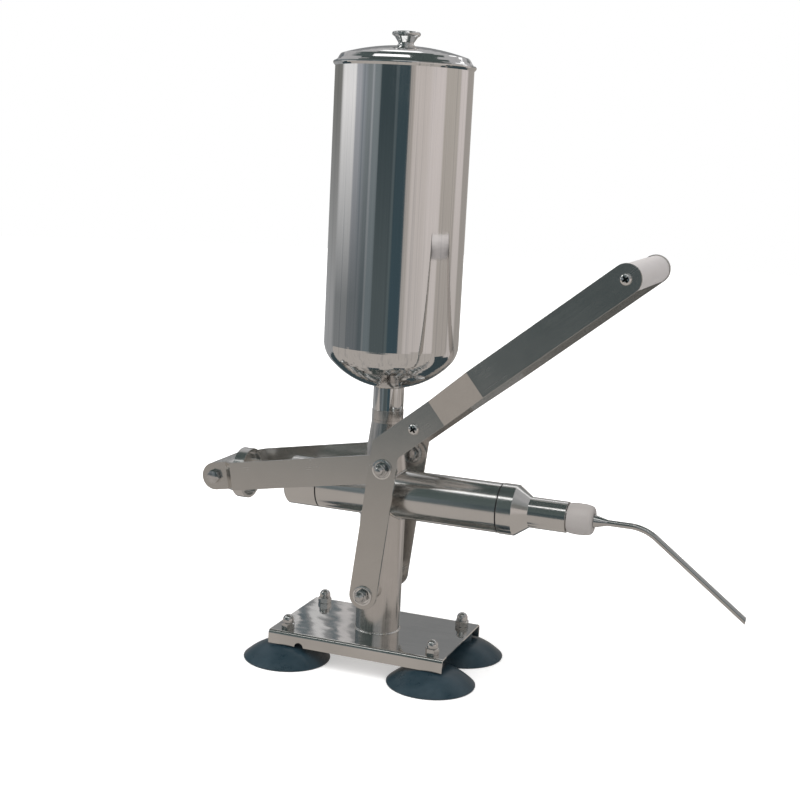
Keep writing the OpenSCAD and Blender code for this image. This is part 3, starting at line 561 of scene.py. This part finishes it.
def pan_head_cutter(name, place, d, h):
    """Cross recess: two tapered bars, as one object used only to cut."""
    bm = bmesh.new()
    for turn in (0, 90):
        m = place @ Matrix.Rotation(math.radians(turn), 4, "Z")
        w0, w1, l0, l1 = 0.085 * d, 0.06 * d, 0.34 * d, 0.20 * d
        top, low = h + 0.4 * MM, h - 0.7 * h
        v = [bm.verts.new(m @ Vector(p)) for p in (
            (-l1, -w1, low), (l1, -w1, low), (l1, w1, low), (-l1, w1, low),
            (-l0, -w0, top), (l0, -w0, top), (l0, w0, top), (-l0, w0, top))]
        for f in ((0, 3, 2, 1), (4, 5, 6, 7), (0, 1, 5, 4), (1, 2, 6, 5), (2, 3, 7, 6), (3, 0, 4, 7)):
            bm.faces.new([v[i] for i in f])
    mesh = bpy.data.meshes.new(name)
    bm.to_mesh(mesh)
    bm.free()
    # The faces cut by this take near-black steel: painted shade in the recess.
    mesh.materials.append(M["recess"])
    return add_object(name, mesh)


def pan_screws(node, body, places):
    """Domed screws with a cross recess, in the place of a group of CAD screws."""
    d, h = SCREW_HEAD_D, SCREW_HEAD_H
    bm = bmesh.new()
    cutters = []
    for i, place in enumerate(places):
        r, core = d / 2, SCREW_D / 2
        spin(bm, [(0, -SCREW_LENGTH), (core, -SCREW_LENGTH), (core, 0), (r * 0.96, 0), (r, 0.12 * h),
                  (r, 0.3 * h), (r * 0.955, 0.52 * h), (r * 0.86, 0.72 * h), (r * 0.70, 0.87 * h),
                  (r * 0.48, 0.96 * h), (r * 0.22, h), (0, h)], place, 40)
        cutters.append(pan_head_cutter(f"cut_{node}_{i}", place, d, h))
    obj = new_piece(node + "_dressed", bm, "chrome", body, 38)
    for cutter in cutters:
        cut = obj.modifiers.new("recess", "BOOLEAN")
        cut.operation = "DIFFERENCE"
        cut.object = cutter
        cut.solver = "EXACT"
        cut.use_self = True
        # Carries the cutter's near-black painted shade onto the recess faces.
        cut.material_mode = "TRANSFER"
    apply_modifiers(obj)
    for cutter in cutters:
        bpy.data.objects.remove(cutter)
    shade(obj, 38)
    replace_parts(obj, node)


def at(point, y):
    return Vector((point.x, y, point.z))


BOLT_D, BOLT_AF, HEAD_H = 8 * MM, 13 * MM, 5.3 * MM
SCREW_HEAD_D, SCREW_HEAD_H, SCREW_D, SCREW_LENGTH = 11.5 * MM, 3.6 * MM, 6 * MM, 24 * MM
HOLE_R, WASHER_R, WASHER_T = BOLT_D / 2 + 0.05 * MM, 10.5 * MM, 2 * MM
CROSS_SHANK = 23.3 * MM
SIDES = (-1, 1)

# Distances from the middle plane, along Y: under the nuts, at the bolts' ends and under the heads
SEAT = -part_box("pivot_nut")[1].y
BOLT_END = -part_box("pivot_bolt")[0].y
INNER_SEAT = 39.9 * MM
CROSS_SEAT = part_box("crosshead_bolts")[1].y - HEAD_H
TIE_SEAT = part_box("tie_screws")[1].y - SCREW_HEAD_H
GRIP_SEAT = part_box("grip_screws")[1].y - SCREW_HEAD_H
NUT_H = -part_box("pivot_nut")[0].y - SEAT


def shank(bm, start, axis, length):
    """Plain part of a bolt."""
    spin(bm, [(0, 0), (BOLT_D / 2, 0), (BOLT_D / 2, length), (0, length)], placed(start, axis), 32)


def lever_fasteners():
    """Nuts, bolts, washers and screws that ride on the lever."""
    bm = bmesh.new()
    collar_nut(bm, placed(at(PIVOT, -SEAT), side_axis(-1), 12))
    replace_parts(new_piece("pivot_nut_dressed", bm, "nut_steel", "lever"), "pivot_nut")

    bm = bmesh.new()
    hex_body(bm, BOLT_AF, HEAD_H, 0, placed(at(PIVOT, SEAT), side_axis(1), 41))
    shank(bm, at(PIVOT, SEAT), side_axis(-1), 2 * SEAT)
    thread(bm, 0, BOLT_END - SEAT, placed(at(PIVOT, -SEAT), side_axis(-1)))
    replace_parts(new_piece("pivot_bolt_dressed", bm, "nut_steel", "lever"), "pivot_bolt")

    bm = bmesh.new()
    for side in SIDES:
        washer_ring(bm, placed(at(PIVOT, side * (SEAT - WASHER_T)), side_axis(side)))
    # The washers' lower faces take dark steel: painted shade.
    washers = new_piece("pivot_washers_dressed", bm, "chrome", "lever", second="painted_shade_steel")
    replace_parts(washers, "pivot_washers")

    bm = bmesh.new()
    for side, turn in ((-1, 25), (1, 4)):
        collar_nut(bm, placed(at(LINK_PIN, side * SEAT), side_axis(side), turn))
    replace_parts(new_piece("link_nuts_dressed", bm, "nut_steel", "lever"), "link_nuts")

    bm = bmesh.new()
    for side, turn in ((-1, 8), (1, 50)):
        hex_body(bm, BOLT_AF, HEAD_H, 0, placed(at(LINK_PIN, side * INNER_SEAT), side_axis(-side), turn))
        shank(bm, at(LINK_PIN, side * INNER_SEAT), side_axis(side), SEAT - INNER_SEAT)
        thread(bm, 0, BOLT_END - SEAT, placed(at(LINK_PIN, side * SEAT), side_axis(side)))
    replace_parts(new_piece("link_bolts_dressed", bm, "nut_steel", "lever"), "link_bolts")

    bm = bmesh.new()
    for side in SIDES:
        washer_ring(bm, placed(at(LINK_PIN, side * (SEAT - WASHER_T)), side_axis(side)))
        washer_ring(bm, placed(at(LINK_PIN, side * (INNER_SEAT + WASHER_T)), side_axis(-side)))
    # The washers' lower faces take dark steel: painted shade.
    washers = new_piece("link_washers_dressed", bm, "chrome", "lever", second="painted_shade_steel")
    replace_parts(washers, "link_washers")

    for node, point, seat in (("tie_screws", TIE, TIE_SEAT), ("grip_screws", GRIP, GRIP_SEAT)):
        places = [placed(at(point, side * seat), side_axis(side), turn) for side, turn in ((-1, 38), (1, 15))]
        pan_screws(node, "lever", places)


def crosshead_fasteners():
    bm = bmesh.new()
    for side, turn in ((-1, 22), (1, 47)):
        hex_body(bm, BOLT_AF, HEAD_H, 0, placed(at(CROSSHEAD, side * CROSS_SEAT), side_axis(side), turn))
        shank(bm, at(CROSSHEAD, side * CROSS_SEAT), side_axis(-side), CROSS_SHANK)
    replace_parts(new_piece("crosshead_bolts_dressed", bm, "nut_steel", "piston"), "crosshead_bolts")


def acorn_nuts():
    """Four acorn nuts: chamfered hexagon, a turned neck and a domed cap."""
    low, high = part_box("cap_nuts")
    half, h = BOLT_AF / 2, high.z - low.z
    hex_h, r, dome_steps = 0.42 * h, 6.0 * MM, 8
    corner = half / math.cos(math.radians(30))
    dome = [(0, hex_h - 0.5 * MM), (r - 0.5 * MM, hex_h - 0.5 * MM), (r - 0.5 * MM, hex_h + 0.5 * MM),
            (r, hex_h + 0.9 * MM), (r, h - r)]
    for k in range(1, dome_steps):
        a = math.radians(90 / dome_steps * k)
        dome.append((r * math.cos(a), h - r + r * math.sin(a)))
    bm = bmesh.new()
    turns = iter((17, 44, 31, 3))
    for x in (low.x + corner, high.x - corner):
        for y in (low.y + half, high.y - half):
            place = placed(Vector((x, y, low.z)), (0, 0, 1), next(turns))
            hex_body(bm, 2 * half, hex_h, 0, place)
            spin(bm, dome + [(0, h)], place, 40)
    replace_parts(new_piece("cap_nuts_dressed", bm, "nut_steel", "frame"), "cap_nuts")


def squeezed_spring():
    """Coil between the ball and its retainer."""
    low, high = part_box("valve_spring")
    coil_r, wire, turns = (high.z - low.z) / 2 - 0.6 * MM, 0.6 * MM, 5
    bm = bmesh.new()
    rows, steps, sides = [], 36 * turns, 8
    for i in range(steps + 1):
        a = 2 * math.pi * turns * i / steps
        x = low.x + wire + (high.x - low.x - 2 * wire) * i / steps
        out = Vector((0, math.cos(a), math.sin(a)))
        centre = Vector((x, 0, (low.z + high.z) / 2)) + coil_r * out
        rows.append([bm.verts.new(centre + wire * (math.cos(b) * out + Vector((math.sin(b), 0, 0))))
                     for b in (2 * math.pi * k / sides for k in range(sides))])
    for a, b in zip(rows, rows[1:]):
        skin(bm, a, b)
    close_ends(bm, rows)
    bmesh.ops.recalc_face_normals(bm, faces=bm.faces)
    mesh = bpy.data.meshes.new("valve_spring_dressed")
    bm.to_mesh(mesh)
    bm.free()
    obj = add_object("valve_spring_dressed", mesh)
    shade(obj, 40)
    dress(obj, "chrome")
    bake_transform(obj)
    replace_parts(obj, "valve_spring")


lever_fasteners()
crosshead_fasteners()
acorn_nuts()
squeezed_spring()

for soft_node, width, soft_look, soft_body, soft_slot in (
    ("base_plate", 0.75, "plate_top", "frame", "plate_steel"),
    ("lever_plate_near", 0.3, "lever", "lever", "plate_steel"),
    ("lever_plate_far", 0.3, "lever", "lever", "plate_steel"),
    ("link_bar_near", 0.3, "link", "links", "plate_steel"),
    ("link_bar_far", 0.3, "link", "links", "plate_steel"),
    ("crosshead", 0.6, "turned_y", "piston", "tube_steel"),
    ("stroke_stop", 0.4, "turned_x", "piston", "tube_steel"),
    ("rear_cap", 0.25, "turned_x", "frame", "tube_steel"),
    ("front_cap", 0.3, "turned_x", "frame", "tube_steel"),
    ("nozzle_nut", 0.5, "white_x", "frame", "white_plastic"),
    ("union_ring", 0.35, "column", "frame", "tube_steel"),
    ("grip", 0.8, "white_y", "lever", "white_plastic"),
):
    softened(soft_node, width * MM, soft_look, soft_body, soft_look in ("lever", "link"))


# ---------------------------------------------------------------- welds
def bead(name, points, radius, body):
    """Weld bead round a closed line of (point, outward) pairs: a rippled tube partly sunk in the joint."""
    ripple, step, sides, sink, unevenness = 0.16, 2.6 * MM, 10, 0.35, 0.10
    bm = bmesh.new()
    count = len(points)
    travelled = 0.0
    rows = []
    for i, (p, out) in enumerate(points):
        before, after = points[i - 1][0], points[(i + 1) % count][0]
        tangent = (after - before).normalized()
        travelled += (p - before).length if i else 0
        phase = 2 * math.pi * travelled / step
        out = (out - out.dot(tangent) * tangent).normalized()
        side = tangent.cross(out)
        jitter = noise.noise(p * 400) * unevenness
        r = radius * (1 + ripple * (abs(math.sin(phase / 2)) - 0.5) + jitter)
        centre = p - out * radius * sink
        rows.append([bm.verts.new(centre + r * (math.cos(a) * out + math.sin(a) * side))
                     for a in (2 * math.pi * k / sides for k in range(sides))])
    for i in range(count):
        skin(bm, rows[i], rows[(i + 1) % count])
    new_piece(name, bm, "weld", body, 60)


def ring_line(centre, r, lift, count=180):
    """Circle round a vertical tube, with outward directions that also rise by lift."""
    line = []
    for i in range(count):
        a = 2 * math.pi * i / count
        flat = Vector((math.cos(a), math.sin(a), 0))
        line.append((centre + r * flat, (flat + Vector((0, 0, lift))).normalized()))
    return line


def saddle_line(r, big_r, up):
    """Where an upright tube of radius r meets the barrel of radius big_r, above (up = 1) or below it (-1)."""
    line, count = [], 180
    for i in range(count):
        a = 2 * math.pi * i / count
        x, y = r * math.cos(a), r * math.sin(a)
        z = math.sqrt(big_r ** 2 - y ** 2)
        barrel_out = Vector((0, y, up * z)) / big_r
        tube_out = Vector((math.cos(a), math.sin(a), 0))
        line.append((Vector((COLUMN_X + x, y, BARREL_Z + up * z)), (barrel_out + tube_out).normalized()))
    return line


COLUMN_R, NECK_R, BARREL_R = half_size("column", 0), half_size("neck", 0), half_size("barrel", 2)
OUTLET_R = 16.3 * MM
COLUMN_FOOT = Vector((COLUMN_X, 0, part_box("base_plate")[1].z))
OUTLET_TOP = Vector((COLUMN_X, 0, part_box("union_ring")[1].z + 24.6 * MM))
bead("column_foot_weld", ring_line(COLUMN_FOOT, COLUMN_R, 1.0), 1.7 * MM, "frame")
bead("column_head_weld", saddle_line(COLUMN_R, BARREL_R, -1), 1.3 * MM, "frame")
bead("neck_weld", saddle_line(NECK_R, BARREL_R, 1), 1.3 * MM, "frame")
bead("outlet_weld", ring_line(OUTLET_TOP, OUTLET_R, -0.6, 120), 0.9 * MM, "frame")

# ---------------------------------------------------------------- studio
WALL_R = 3.0
WALL_LOW, WALL_MID, WALL_UPPER, WALL_HIGH = -1.6, 0.85, 1.75, 4.1
DEEP_BELOW, DEEP_ABOVE = 0.08, 0.70     # the deep bands fade out between these heights
CAMERA_AZ = -69.36                      # where the camera stands round the column, in degrees
WORLD_FILL, WORLD_SEEN = 0.42, 1.0
FLOOR_R, WHITE_FROM, WHITE_TO = 6.0, 0.2, 1.1     # the floor grows whiter between these distances


def glow(name, colour=None, stops=None, deep=None):
    """Light of one colour, or of colours round the Z axis; deep gives the colours near the floor."""
    m = bpy.data.materials.new(name)
    m.use_nodes = True
    t = m.node_tree
    t.nodes.clear()
    out = t.nodes.new("ShaderNodeOutputMaterial")
    e = t.nodes.new("ShaderNodeEmission")
    t.links.new(e.outputs[0], out.inputs[0])
    if colour:
        e.inputs[0].default_value = (*colour, 1)
        return m

    coord = t.nodes.new("ShaderNodeTexCoord")
    angle = t.nodes.new("ShaderNodeTexGradient")
    angle.gradient_type = "RADIAL"
    t.links.new(coord.outputs["Object"], angle.inputs[0])

    def bands(places):
        ramp = t.nodes.new("ShaderNodeValToRGB")
        t.links.new(angle.outputs["Fac"], ramp.inputs[0])
        return fill_ramp(ramp, places)

    seen = bands(stops)
    if deep:
        split = t.nodes.new("ShaderNodeSeparateXYZ")
        t.links.new(coord.outputs["Object"], split.inputs[0])
        amount = t.nodes.new("ShaderNodeMapRange")
        for key, v in zip(("From Min", "From Max", "To Min", "To Max"), (DEEP_BELOW, DEEP_ABOVE, 1, 0)):
            amount.inputs[key].default_value = v
        t.links.new(split.outputs[2], amount.inputs["Value"])
        mix = t.nodes.new("ShaderNodeMix")
        mix.data_type = "RGBA"
        t.links.new(amount.outputs[0], mix.inputs[0])
        t.links.new(seen, mix.inputs[6])
        t.links.new(bands(deep), mix.inputs[7])
        seen = mix.outputs[2]
    t.links.new(seen, e.inputs[0])
    return m


def only_glossy(obj):
    """Leaves an object of the studio to reflections alone."""
    obj.visible_camera = obj.visible_diffuse = obj.visible_shadow = obj.visible_transmission = False
    obj.visible_volume_scatter = False


def ring(name, r, z0, z1, material):
    """Upright cylinder whose own X axis points at the camera, so that its angles are counted from there."""
    mesh = bpy.data.meshes.new(name)
    verts, faces, steps = [], [], 96
    for i in range(steps):
        a = 2 * math.pi * i / steps
        verts += [(r * math.cos(a), r * math.sin(a), z) for z in (z0, z1)]
    for i in range(steps):
        j = (i + 1) % steps
        faces.append((2 * i, 2 * j, 2 * j + 1, 2 * i + 1))
    mesh.from_pydata(verts, [], faces)
    mesh.materials.append(material)
    obj = add_object(name, mesh)
    obj.location = (COLUMN_X, 0, 0)
    obj.rotation_euler = (0, 0, math.radians(CAMERA_AZ))
    only_glossy(obj)


def card(name, corners, material):
    mesh = bpy.data.meshes.new(name)
    mesh.from_pydata(corners, [], [tuple(range(len(corners)))])
    mesh.materials.append(material)
    only_glossy(add_object(name, mesh))


def band_stops(bands):
    """Stops of an angle ramp from [(end of band in degrees from the camera's side, colour, softness of that
    end), ...].

    Angles run from -180 to 180; the ramp's place 0.5 is the camera's own direction."""
    stops = []
    start, before = -180, 0
    for end, c, soft in bands:
        stops += [((start + before + 180) / 360, c), ((end - soft + 180) / 360, c)]
        start, before = end, soft
    return stops


# What the bright metal reflects: bands of light and dark round the machine, in four heights
NIGHT, DUSK, SLATE = (0.046, 0.066, 0.074), (0.046, 0.071, 0.082), (0.134, 0.166, 0.184)
SMOKE, WHITE, GREY = (0.20, 0.20, 0.19), (0.69, 0.685, 0.69), (0.24, 0.245, 0.25)
WARM, BUFF, SAND = (0.68, 0.62, 0.60), (0.60, 0.545, 0.515), (0.48, 0.44, 0.40)
CLAY, CEILING, SKY = (0.56, 0.515, 0.49), (0.075, 0.095, 0.092), (0.42, 0.435, 0.445)
LOW_BANDS = [
    (-119, SMOKE, 4), (-83, (0.86, 0.85, 0.85), 1.2), (-71, (0.42, 0.43, 0.46), 2),
    (-61, (0.28, 0.305, 0.33), 2), (-52, (0.22, 0.245, 0.255), 1), (-48.5, (0.36, 0.38, 0.40), 0.8),
    (-37.5, (0.21, 0.24, 0.252), 0.8), (-12.5, NIGHT, 0.8), (-8, (0.09, 0.115, 0.125), 0.8),
    (10.5, DUSK, 0.8), (18, (0.41, 0.375, 0.345), 1), (46, BUFF, 4), (72, WARM, 1), (107, SAND, 1.5),
    (128, WARM, 1.5), (180, (0.385, 0.355, 0.33), 0),
]
DEEP_BANDS = [
    (-119, (0.34, 0.345, 0.35), 4), (-83, (0.21, 0.22, 0.225), 3), (-61, (0.145, 0.16, 0.17), 3),
    (-52, (0.10, 0.12, 0.13), 1), (-48.5, (0.19, 0.21, 0.22), 0.8), (-37.5, (0.15, 0.178, 0.19), 0.8),
    (-12.5, (0.085, 0.105, 0.11), 0.8), (-8, (0.10, 0.125, 0.13), 0.8), (10.5, (0.048, 0.078, 0.094), 0.8),
    (18, (0.42, 0.39, 0.365), 1), (46, CLAY, 4), (72, (0.62, 0.57, 0.545), 1),
    (107, (0.42, 0.385, 0.355), 1.5), (128, CLAY, 1.5), (180, (0.36, 0.335, 0.31), 0),
]
HIGH_BANDS = [
    (-172, GREY, 2), (-165, (0.50, 0.50, 0.51), 2), (-150, (0.20, 0.205, 0.21), 3), (-100, SLATE, 6),
    (-20, (0.095, 0.12, 0.118), 4), (22, SKY, 6), (70, SMOKE, 8), (130, (0.46, 0.43, 0.41), 6),
    (158, (0.20, 0.21, 0.21), 3), (168, (0.52, 0.51, 0.51), 2), (180, GREY, 0),
]
TOP_BANDS = [
    (-115, (0.46, 0.455, 0.46), 8), (-20, (0.085, 0.108, 0.106), 8), (60, (0.30, 0.31, 0.31), 10),
    (180, (0.46, 0.455, 0.46), 0),
]
for wall, bottom, top, bands, deep_bands in (
    ("studio_wall", WALL_LOW, WALL_MID, LOW_BANDS, DEEP_BANDS),
    ("studio_wall_high", WALL_MID, WALL_UPPER, HIGH_BANDS, ()),
    ("studio_wall_top", WALL_UPPER, WALL_HIGH, TOP_BANDS, ()),
):
    ring(wall, WALL_R, bottom, top, glow(wall, stops=band_stops(bands), deep=band_stops(deep_bands)))
card("studio_strip", [(-3, -2.5, 4.0), (3, -2.5, 4.0), (3, -1.75, 4.0), (-3, -1.75, 4.0)],
     glow("studio_strip", (1.7, 1.7, 1.7)))
for level_card, z, tone in (("studio_ceiling", WALL_HIGH, CEILING), ("studio_ground", -0.9, NIGHT)):
    card(level_card, [(-4, -4, z), (4, -4, z), (4, 4, z), (-4, 4, z)], glow(level_card, tone))
card("studio_back_light", [(-2.6, 2.55, 2.15), (1.6, 2.55, 2.15), (1.6, 2.55, 2.6), (-2.6, 2.55, 2.6)],
     glow("studio_back_light", (1.5, 1.5, 1.5)))
card("studio_window", [(-2.35, -0.5, 1.55), (-2.0, -1.3, 1.55), (-1.75, -1.2, 2.2), (-2.1, -0.4, 2.2)],
     glow("studio_window", (2.6, 2.6, 2.6)))
for px, wide, tone in ((-0.735, 0.016, WHITE), (-0.712, 0.020, SLATE), (-0.675, 0.030, WHITE),
                       (-0.640, 0.012, SLATE), (-0.615, 0.026, (0.62, 0.60, 0.60))):
    x0, x1 = px - wide / 2, px + wide / 2
    card(f"studio_panel_{round(-px * 1000)}",
         [(x0, 1.2, 0.25), (x1, 1.2, 0.25), (x1, 1.2, 0.75), (x0, 1.2, 0.75)], glow("studio_panel", tone))


def floor_pieces():
    """The white floor that the camera sees, and the warm table top that the metal sees."""
    mesh = bpy.data.meshes.new("floor")
    bm = bmesh.new()
    bmesh.ops.create_circle(bm, cap_ends=True, segments=96, radius=FLOOR_R)
    bm.to_mesh(mesh)
    bm.free()
    floor = add_object("floor", mesh)
    floor.location = (0, 0, -0.0002)
    s = Shader("floor_white", (0.86, 0.86, 0.86), 0.9, 0.0)
    s.bsdf.inputs["Specular IOR Level"].default_value = 0.0
    length = s.node("ShaderNodeVectorMath", operation="LENGTH")
    s.link(s.coord, length.inputs[0])
    white = s.node("ShaderNodeEmission")
    s.link(s.range(length.outputs["Value"], WHITE_FROM, WHITE_TO, 0.40, 1.0), white.inputs["Strength"])
    both = s.node("ShaderNodeAddShader")
    pick = s.node("ShaderNodeMixShader")
    path = s.node("ShaderNodeLightPath")
    s.link(s.bsdf.outputs[0], both.inputs[0])
    s.link(white.outputs[0], both.inputs[1])
    s.link(path.outputs["Is Camera Ray"], pick.inputs[0])
    s.link(s.bsdf.outputs[0], pick.inputs[1])
    s.link(both.outputs[0], pick.inputs[2])
    s.link(pick.outputs[0], s.out.inputs[0])
    mesh.materials.append(s.mat)
    floor.visible_glossy = False

    top = bpy.data.meshes.new("table_card")
    top.from_pydata([(-1.6, -1.05, 0), (1.6, -1.05, 0), (1.6, 0.16, 0), (-1.6, 0.16, 0)], [], [(0, 1, 2, 3)])
    table = add_object("table_card", top)
    table.location = (0, 0, -0.0001)
    top.materials.append(glow("table_warm", (0.45, 0.415, 0.385)))
    only_glossy(table)


floor_pieces()


def lamp(name, place, target, size, power, colour):
    """Area lamp that reflections don't see."""
    data = bpy.data.lights.new(name, "AREA")
    data.shape = "RECTANGLE"
    data.size, data.size_y = size
    data.energy = power
    data.color = colour
    obj = add_object(name, data)
    obj.location = place
    obj.rotation_mode = "QUATERNION"
    obj.rotation_quaternion = (Vector(target) - Vector(place)).to_track_quat("-Z", "Y")
    obj.visible_glossy = False


AIM = (0, 0, 0.25)
lamp("soft_top", (-0.2, -0.3, 2.2), AIM, (2.2, 2.2), 34, (1.0, 0.98, 0.96))
lamp("soft_left", (-1.9, -1.5, 1.1), AIM, (1.4, 1.6), 17, (1.0, 0.98, 0.97))
lamp("soft_right", (1.8, -1.2, 1.2), AIM, (1.2, 1.4), 9, (0.98, 0.98, 1.0))

# The world is white to the camera, to reflections and through clear things, and softer as a light.
world = bpy.data.worlds.new("studio_world")
bpy.context.scene.world = world
world.use_nodes = True
wt = world.node_tree
wt.nodes.clear()
w_out = wt.nodes.new("ShaderNodeOutputWorld")
w_mix = wt.nodes.new("ShaderNodeMixShader")
wt.links.new(w_mix.outputs[0], w_out.inputs[0])
for socket, strength in ((1, WORLD_FILL), (2, WORLD_SEEN)):
    w_light = wt.nodes.new("ShaderNodeBackground")
    w_light.inputs[0].default_value = (1, 1, 1, 1)
    w_light.inputs[1].default_value = strength
    wt.links.new(w_light.outputs[0], w_mix.inputs[socket])
w_path = wt.nodes.new("ShaderNodeLightPath")
seen_by = w_path.outputs["Is Camera Ray"]
for ray in ("Is Glossy Ray", "Is Transmission Ray"):
    either = wt.nodes.new("ShaderNodeMath")
    either.operation = "MAXIMUM"
    wt.links.new(seen_by, either.inputs[0])
    wt.links.new(w_path.outputs[ray], either.inputs[1])
    seen_by = either.outputs[0]
wt.links.new(seen_by, w_mix.inputs[0])

# ---------------------------------------------------------------- camera
YAW, PITCH, ROLL = (math.radians(v) for v in (20.1665, 10.1818, 2.9168))
STAND, FOCAL_LENGTH = (0.425450, -1.374986, BARREL_Z + 0.363732), 63.745
forward = Vector((-math.sin(YAW) * math.cos(PITCH), math.cos(YAW) * math.cos(PITCH), -math.sin(PITCH)))
right = Vector((math.cos(YAW), math.sin(YAW), 0))
up = right.cross(forward)
right, up = (math.cos(ROLL) * right + math.sin(ROLL) * up, -math.sin(ROLL) * right + math.cos(ROLL) * up)
camera_data = bpy.data.cameras.new("camera")
camera_data.sensor_width = 36
camera_data.lens = FOCAL_LENGTH
camera_data.clip_start, camera_data.clip_end = 0.05, 60
camera = add_object("camera", camera_data)
axes = Matrix((right, up, -forward)).transposed().to_4x4()
camera.matrix_world = Matrix.Translation(STAND) @ axes
bpy.context.scene.camera = camera
bpy.context.scene.view_settings.view_transform = "Standard"
